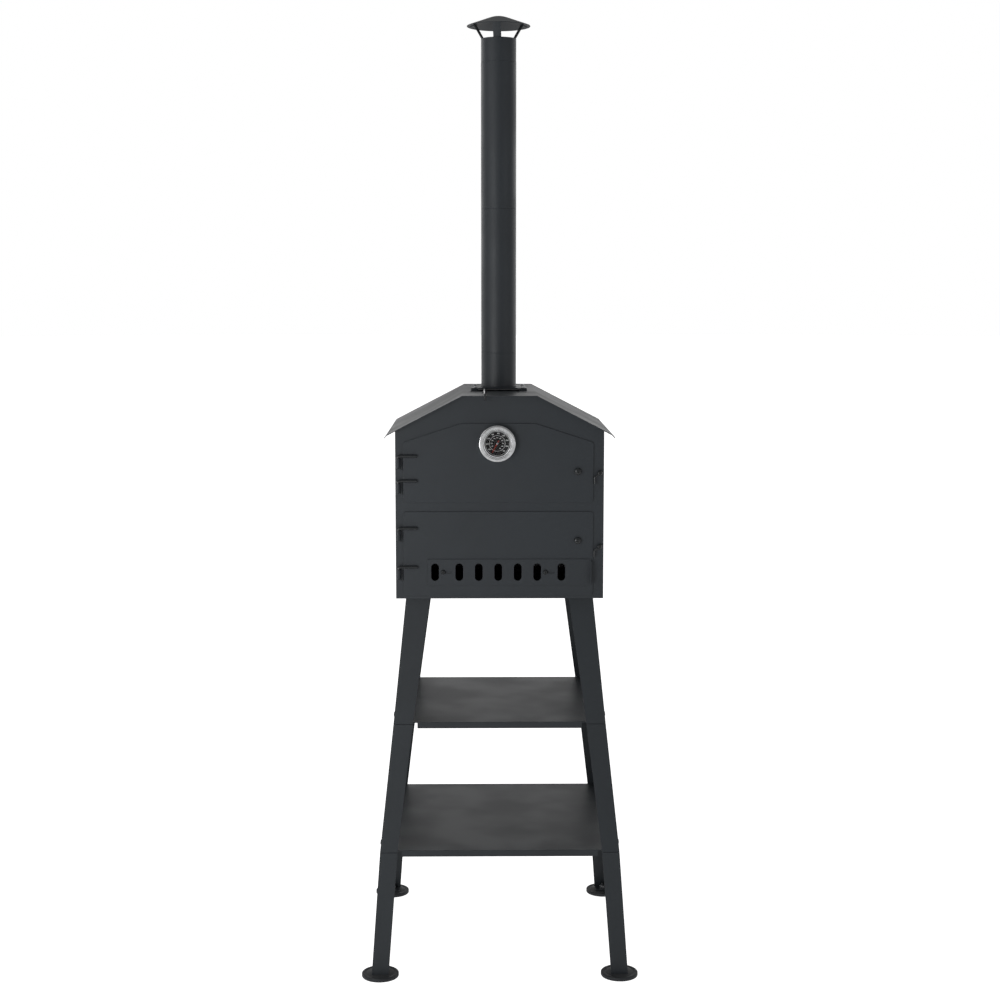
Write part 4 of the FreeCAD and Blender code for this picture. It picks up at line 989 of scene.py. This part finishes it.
class OVEN_OT_latches(Builder):
    """Build the turn hooks beside the doors, each with a flattened eye"""

    bl_idname = "oven.latches"
    bl_label = "Latch Hooks"

    def build(self, sizes):
        for side in ("upper", "lower"):
            node = side + "_latch_hook"
            low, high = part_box(node)
            rod_r = (high.y - low.y) / 2
            y = (low.y + high.y) / 2
            pivot = [p for p in solids_of("latch_screws") if low.z < box_of(p)[0].z < high.z][0]
            screw_low, screw_high = box_of(pivot)
            x = (screw_low.x + screw_high.x) / 2
            eye_r = high.x - x
            z = high.z - eye_r
            bore = eye_r * EYE_BORE
            ring_r = (eye_r + bore) / 2
            ring = []
            for i in range(20):
                angle = FULL * i / 20
                reach = ring_r + (eye_r - bore) / 2 * math.cos(angle)
                ring.append((reach, rod_r * math.sin(angle)))
            bm = bmesh.new()
            lathe(bm, ring, SMALL_SIDES, placed((x, y, z), OUTWARD, 0.0))
            arm_x = low.x + rod_r
            shoulder = z - (z - low.z) * SHOULDER_DROP
            toward = Vector((arm_x - x, 0, shoulder - z)).normalized()
            start = Vector((x, y, z)) + toward * ring_r
            path = bent([start, (arm_x, y, shoulder), (arm_x, y, low.z)], rod_r * 1.7)
            tube(bm, path, rod_r, 22)
            piece(side + "_turn_hook", closed(bm), "rod_coat", side + "_latch", node)


class OVEN_OT_air_damper(Builder):
    """Build the sliding vent plate"""

    bl_idname = "oven.air_damper"
    bl_label = "Air Damper"

    def build(self, sizes):
        rounded("air_damper", sizes.small_round, "air_damper_plate", "body_coat")


class OVEN_OT_thermometer(Builder):
    """Build the thermometer: case, dial with its print, needle, pane, bezel and nut"""

    bl_idname = "oven.thermometer"
    bl_label = "Thermometer"

    def build(self, sizes):
        low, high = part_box("thermometer_bezel")
        centre = Vector(((low.x + high.x) / 2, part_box("upper_door")[0].y, (low.z + high.z) / 2))
        self.out = placed(centre, OUTWARD, 0.0)
        up = self.out.to_3x3().inverted() @ Vector((0, 0, 1))
        top = math.atan2(up.y, up.x) - math.pi / 2
        self.upright = self.out @ Matrix.Rotation(top, 4, "Z")
        self.bezel_r = (high.x - low.x) / 2
        self.back = centre.y - high.y
        self.front = centre.y - low.y
        rounded("thermometer_case", sizes.small_round, "thermometer_cup", "body_coat")
        self.bezel()
        self.pane()
        self.dial(sizes)
        self.needle(centre)
        nuts("thermometer_nut", "thermometer_back_nut", "upper_door")

    def span(self, node):
        """Depth range of a thermometer part above the face of the door, and its radius."""
        low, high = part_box(node)
        face = self.out.translation.y
        return face - high.y, face - low.y, (high.x - low.x) / 2

    def bezel(self):
        r = self.bezel_r
        eye = r * RIM_EYE
        inner = r * RIM_INNER
        front = self.span("thermometer_lens")[1]
        top = self.front
        lip = 1.5 * MM
        outline = [(inner, self.back), (r - 0.4 * MM, self.back), (r, self.back + 0.4 * MM)]
        outline += arc(r - lip, top - lip, lip, 0, 80, 6)
        outline += [(r * RIM_CREST, top - 0.12 * MM), (eye + 2.4 * MM, top - 0.25 * MM)]
        outline += arc(eye + 2.2 * MM, top - 0.55 * MM, 0.3 * MM, 90, 140, 4)
        outline += [(eye + 1.1 * MM, front + 0.2 * MM), (eye + 0.5 * MM, front + 0.2 * MM)]
        outline += [(eye, front + 0.25 * MM), (eye - 0.4 * MM, front), (inner, front)]
        mesh = turned(outline, RIM_SIDES, self.out)
        piece("thermometer_rim", mesh, "bezel_chrome", "upper_door", "thermometer_bezel")

    def pane(self):
        back, front, radius = self.span("thermometer_lens")
        eye = self.bezel_r * PANE_EYE
        dome = 0.25 * MM
        outline = [(0, back), (radius, back), (radius, front), (eye, front)]
        for i in range(1, 9):
            share = 1 - i / 8
            outline.append((eye * share, front + dome * (1 - share * share)))
        mesh = turned(outline, ROUND_SIDES, self.out)
        piece("thermometer_pane", mesh, "lens_glass", "upper_door", "thermometer_lens")

    def dial(self, sizes):
        back, front, radius = self.span("thermometer_dial")
        bore = 1.0 * MM
        rim = radius * DIAL_RIM
        level = front - 0.1 * MM
        outline = [(bore, back), (radius, back), (radius, front), (rim + 0.3 * MM, front)]
        outline += [(rim, level), (bore, level)]
        mesh = turned(outline, ROUND_SIDES, self.out)
        piece("thermometer_dial_disc", mesh, "dial_face", "upper_door", "thermometer_dial")
        top = level + sizes.print_depth
        bm = bmesh.new()
        for inner, outer in DIAL_RINGS:
            low_r, high_r = inner * MM, outer * MM
            ring = [(low_r, level), (high_r, level), (high_r, top), (low_r, top)]
            lathe(bm, ring, 120, self.out)
        for i in range(MARKS):
            mark = SHORT_MARK if i % MARKS_PER_LONG else LONG_MARK
            self.mark(bm, math.radians(DIAL_START + MARK_TURN * i), *mark, level, top)
        for i in range(11):
            turn = DIAL_START + NUMBER_TURN * i
            self.number(bm, CELSIUS_STEP * i, turn, *CELSIUS_PRINT, level, top)
        for i in range(9):
            fahrenheit = FAHRENHEIT_STEP * (i + 1)
            turn = DIAL_START + CELSIUS_TURN * (fahrenheit - 32) / 1.8
            self.number(bm, fahrenheit, turn, *FAHRENHEIT_PRINT, level, top)
        piece("thermometer_print", closed(bm), "dial_face", "upper_door", look="dial_print")

    def mark(self, bm, angle, inner, outer, width, low, high):
        """A radial mark, its angle clockwise from the top of the dial."""
        half = width / 2 * MM
        start, end = inner * MM, outer * MM
        outline = [(-half, start), (half, start), (half, end), (-half, end)]
        slab(bm, outline, low, high, self.upright @ Matrix.Rotation(-angle, 4, "Z"))

    def number(self, bm, value, turn, reach, size, low, high):
        """A printed number, upright, with its middle at a turn clockwise from the top."""
        curve = bpy.data.curves.new("number", "FONT")
        curve.body = str(value)
        curve.size = size * MM
        curve.align_x = "CENTER"
        curve.align_y = "CENTER"
        curve.extrude = (high - low) / 2
        curve.offset = PRINT_SWELL * MM
        curve.resolution_u = 3
        curve.space_character = 1.05
        obj = linked("number", curve)
        view = bpy.context.evaluated_depsgraph_get()
        mesh = bpy.data.meshes.new_from_object(obj.evaluated_get(view))
        bpy.data.objects.remove(obj)
        angle = math.radians(turn)
        across, up = math.sin(angle) * reach * MM, math.cos(angle) * reach * MM
        mesh.transform(self.upright @ Matrix.Translation((across, up, (low + high) / 2)))
        solid = bmesh.new()
        solid.from_mesh(mesh)
        bmesh.ops.remove_doubles(solid, verts=solid.verts, dist=1e-7)
        solid.to_mesh(mesh)
        solid.free()
        bm.from_mesh(mesh)
        bpy.data.meshes.remove(mesh)

    def needle(self, centre):
        back, front, _ = self.span("thermometer_needle")
        far = max(
            (p.co for p in NODES["thermometer_needle"].data.vertices),
            key=lambda p: math.hypot(p.x - centre.x, p.z - centre.z),
        )
        reach = math.hypot(far.x - centre.x, far.z - centre.z)
        angle = math.atan2(far.x - centre.x, far.z - centre.z)
        blade = front - 0.9 * MM
        tail = -reach * 0.34 / MM
        tip = reach / MM
        outline = [(-0.35, tail), (0.35, tail), (1.1, tail + 1.6), (1.05, 0)]
        outline += [(0.35, tip), (-0.35, tip), (-1.05, 0), (-1.1, tail + 1.6)]
        turn = self.upright @ Matrix.Rotation(-angle, 4, "Z")
        bm = bmesh.new()
        slab(bm, [(x * MM, y * MM) for x, y in outline], blade - 0.3 * MM, blade, turn)
        piece("thermometer_pointer", closed(bm), "needle_red", "needle", "thermometer_needle")
        hub_r = 1.8 * MM
        neck = blade - 0.5 * MM
        hub = [(0, back), (0.8 * MM, back), (0.8 * MM, neck), (hub_r, neck)]
        for i in range(6):
            bend = i / 5 * math.pi / 2
            hub.append((hub_r * math.cos(bend), blade + (front - blade) * math.sin(bend)))
        piece("thermometer_hub", turned(hub, SCREW_STEPS, self.out), "zinc", "needle")


class OVEN_OT_flue(Builder):
    """Build the flue: its guide, flanged base, pipes and collar"""

    bl_idname = "oven.flue"
    bl_label = "Flue"

    def build(self, sizes):
        sheets(("flue_guide", "flue_base"), sizes.small_round, "body_coat")
        sheets(("lower_pipe", "upper_pipe", "cap_collar"), sizes.door_round, "body_coat")
        low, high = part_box("cap_collar")
        reach = (high.x - low.x) / 2 + sizes.weld * 0.35
        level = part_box("flue_base")[0].z + 1.5 * MM + sizes.weld * 0.3
        path = []
        for i in range(FLUE_POINTS + 1):
            angle = FULL * i / FLUE_POINTS
            path.append((reach * math.cos(angle), reach * math.sin(angle), level))
        bm = bmesh.new()
        tube(bm, path, sizes.weld, 10, rippled(0.14, FLUE_RIPPLES))
        piece("flue_base_weld", closed(bm), "body_coat", "oven_and_stand")


class OVEN_OT_rain_cap(Builder):
    """Build the rain cap and the straps that carry it"""

    bl_idname = "oven.rain_cap"
    bl_label = "Rain Cap"

    def build(self, sizes):
        rounded("rain_cap", sizes.small_round, "rain_cap_cone", "body_coat")
        rounded("cap_straps", sizes.small_round, "rain_cap_straps", "body_coat")


class OVEN_OT_flue_damper(Builder):
    """Build the sliding flue damper and its pull rod"""

    bl_idname = "oven.flue_damper"
    bl_label = "Flue Damper"

    def build(self, sizes):
        rounded("flue_damper_blade", sizes.small_round, "flue_blade", "inner_steel")
        smooth_copy("flue_damper_rod", "flue_pull_rod", "rod_coat")


class OVEN_OT_legs(Builder):
    """Build the bolted leg lengths"""

    bl_idname = "oven.legs"
    bl_label = "Legs"

    def build(self, sizes):
        legs = [node for node in sorted(NODES) if "_leg_" in node]
        sheets(legs, sizes.sheet_round, "stand_coat", "_angle")


class OVEN_OT_shelves(Builder):
    """Build the two folded shelves"""

    bl_idname = "oven.shelves"
    bl_label = "Shelves"

    def build(self, sizes):
        sheets(("upper_shelf", "lower_shelf"), sizes.sheet_round, "stand_coat", "_tray")


class OVEN_OT_feet(Builder):
    """Build the round feet, each with a stepped rim and a threaded stud"""

    bl_idname = "oven.feet"
    bl_label = "Feet"

    def build(self, sizes):
        for node in sorted(NODES):
            if not node.endswith("_foot"):
                continue
            low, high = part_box(node)
            leg_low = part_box(node.replace("_foot", "_leg_lower"))[0]
            radius = (high.x - low.x) / 2
            thick = leg_low.z
            stud = 3.0 * MM
            lip = 1.4 * MM
            outline = [(0, 0), (radius - 2.5 * MM, 0), (radius - 0.5 * MM, 0.6 * MM), (radius, lip)]
            outline += arc(radius - lip, thick - lip, lip, 0, 90, 5)
            outline += [(radius * 0.80, thick), (radius * 0.78, thick - 0.3 * MM)]
            outline += [(radius * 0.76, thick), (stud, thick)]
            top = high.z - 0.6 * MM
            outline += thread(stud, thick + 0.2 * MM, top, sizes.thread_pitch, 0.2 * MM)
            outline += [(stud * 0.75, high.z), (0, high.z)]
            place = Matrix.Translation(((low.x + high.x) / 2, (low.y + high.y) / 2, 0))
            mesh = turned(outline, ROUND_SIDES, place)
            piece(node + "_disc", mesh, "foot_coat", "oven_and_stand", node)


class OVEN_OT_fasteners(Builder):
    """Build the screws, bolts and nuts"""

    bl_idname = "oven.fasteners"
    bl_label = "Screws, Bolts and Nuts"

    def build(self, sizes):
        screws("stand_bolts", "stand_dome_bolts", "oven_and_stand", "rod_coat", 1)
        screws("flange_screws", "flange_pan_screws", "oven_and_stand", "zinc", 2)
        screws("latch_screws", "latch_pivot_screws", "oven_and_stand", "rod_coat", 3)
        screws("air_damper_screws", "air_damper_guides", "lower_door", "rod_coat", 4)
        nuts("stand_nuts", "stand_hex_nuts", "oven_and_stand")
        nuts("foot_nuts", "foot_hex_nuts", "oven_and_stand")


class OVEN_OT_fire_fittings(Builder):
    """Build the ledges, the charcoal grate and the ash pan"""

    bl_idname = "oven.fire_fittings"
    bl_label = "Grate and Pan"

    def build(self, sizes):
        sheets(("stone_ledges", "grate_ledges", "ash_pan"), sizes.small_round, "inner_steel")
        smooth_copy("charcoal_grate", "charcoal_grate_bars", "inner_steel")


class OVEN_OT_stones(Builder):
    """Build the two baking stones with worn arrises"""

    bl_idname = "oven.stones"
    bl_label = "Baking Stones"

    def build(self, sizes):
        rounded("pizza_stones", sizes.door_round, "baking_stones", "fireclay")


class OVEN_OT_stage(Builder):
    """Set the pale floor, the soft lights, the surroundings and the camera"""

    bl_idname = "oven.stage"
    bl_label = "Stage, Lights and Camera"

    def build(self, sizes):
        self.floor(sizes)
        self.surroundings()
        for lamp in LAMPS:
            self.lamp(*lamp)
        self.camera()
        bpy.context.scene.view_settings.view_transform = "Standard"

    def floor(self, sizes):
        radius = sizes.floor_radius
        mesh = turned([(0, -0.02), (radius, -0.02), (radius, 0), (0, 0)], ROUND_SIDES)
        material, tree, bsdf = blank("Pale floor")
        spray = use(tree, sprayed_grain(), Grains_per_Metre=60.0, Patches_per_Metre=1.5)
        tone = mixed(tree, spray["Tone"], (0.86, 0.86, 0.86), (0.89, 0.89, 0.89))
        seen = shader(tree, "ShaderNodeLightPath").outputs["Is Camera Ray"]
        feed(tree, bsdf, {
            "Base Color": tone, "Roughness": 0.9, "Specular IOR Level": 0.1,
            "Emission Color": mixed(tree, seen, (0.30, 0.30, 0.30), (1.0, 1.0, 1.0)),
            "Emission Strength": 1.0,
        })
        mesh.materials.append(material)
        linked("floor", mesh)

    def surroundings(self):
        world = bpy.data.worlds.new("pale_studio")
        world.use_nodes = True
        bpy.context.scene.world = world
        tree = world.node_tree
        tree.nodes.clear()
        way = shader(tree, "ShaderNodeTexCoord").outputs["Generated"]
        axes = shader(tree, "ShaderNodeSeparateXYZ", {0: way}).outputs
        behind = ranged(tree, axes["Y"], 0.0, 0.6)
        low = ranged(tree, axes["Z"], 0.11, 0.33, 1.80, 0.22)
        aside = ranged(tree, axes["X"], -0.9, 0.9, 1.12, 1.0)
        part = maths(tree, "MULTIPLY", behind, maths(tree, "SUBTRACT", low, FRONT_LEVEL))
        level = maths(tree, "MULTIPLY", maths(tree, "ADD", part, FRONT_LEVEL), aside)
        lit = shader(tree, "ShaderNodeBackground", {"Strength": level})
        seen = shader(tree, "ShaderNodeBackground", {"Strength": 1.0})
        for back in (lit, seen):
            back.inputs["Color"].default_value = (1.0, 1.0, 1.0, 1.0)
        view = shader(tree, "ShaderNodeLightPath").outputs["Is Camera Ray"]
        mix = shader(tree, "ShaderNodeMixShader", {0: view, 1: lit.outputs[0], 2: seen.outputs[0]})
        out = shader(tree, "ShaderNodeOutputWorld")
        tree.links.new(mix.outputs[0], out.inputs["Surface"])

    def lamp(self, name, place, size, power):
        light = bpy.data.lights.new(name, "AREA")
        light.shape = "DISK"
        light.size = size
        light.energy = power
        obj = linked(name, light)
        obj.location = place
        aim = Vector((0, 0, CAD_BOX[1].z * LAMP_AIM)) - Vector(place)
        obj.rotation_euler = aim.to_track_quat("-Z", "Y").to_euler()

    def camera(self):
        camera = bpy.data.cameras.new("camera")
        camera.sensor_width = 36.0
        camera.lens = CAMERA_LENS
        camera.clip_end = 200.0
        obj = linked("camera", camera)
        obj.location = CAMERA_PLACE
        obj.rotation_euler = (math.pi / 2 - CAMERA_DIP, 0.0, CAMERA_TURN)
        bpy.context.scene.camera = obj


BUILDERS = (
    OVEN_OT_body, OVEN_OT_roof, OVEN_OT_doors, OVEN_OT_hinge_rods, OVEN_OT_knobs, OVEN_OT_latches,
    OVEN_OT_air_damper, OVEN_OT_thermometer, OVEN_OT_flue, OVEN_OT_rain_cap, OVEN_OT_flue_damper,
    OVEN_OT_legs, OVEN_OT_shelves, OVEN_OT_feet, OVEN_OT_fasteners, OVEN_OT_fire_fittings,
    OVEN_OT_stones, OVEN_OT_stage,
)


class OVEN_PT_panel(bpy.types.Panel):
    """Buttons for every piece of the oven, with its sizes and colours"""

    bl_idname = "OVEN_PT_panel"
    bl_label = "Charcoal Oven"
    bl_space_type = "VIEW_3D"
    bl_region_type = "UI"
    bl_category = "Oven"

    def draw(self, context):
        layout = self.layout
        for settings in (context.scene.oven_sizes, context.scene.oven_colours):
            box = layout.box()
            for name in settings.__annotations__:
                box.prop(settings, name)
        for builder in BUILDERS:
            layout.operator(builder.bl_idname)


CLASSES = (OvenColours, OvenSizes, *BUILDERS, OVEN_PT_panel)


def register():
    for cls in CLASSES:
        bpy.utils.register_class(cls)
    bpy.types.Scene.oven_colours = PointerProperty(type=OvenColours)
    bpy.types.Scene.oven_sizes = PointerProperty(type=OvenSizes)


def unregister():
    del bpy.types.Scene.oven_sizes
    del bpy.types.Scene.oven_colours
    for cls in reversed(CLASSES):
        bpy.utils.unregister_class(cls)


def main():
    register()
    for builder in BUILDERS:
        family, name = builder.bl_idname.split(".")
        getattr(getattr(bpy.ops, family), name)()


if __name__ == "__main__":
    main()
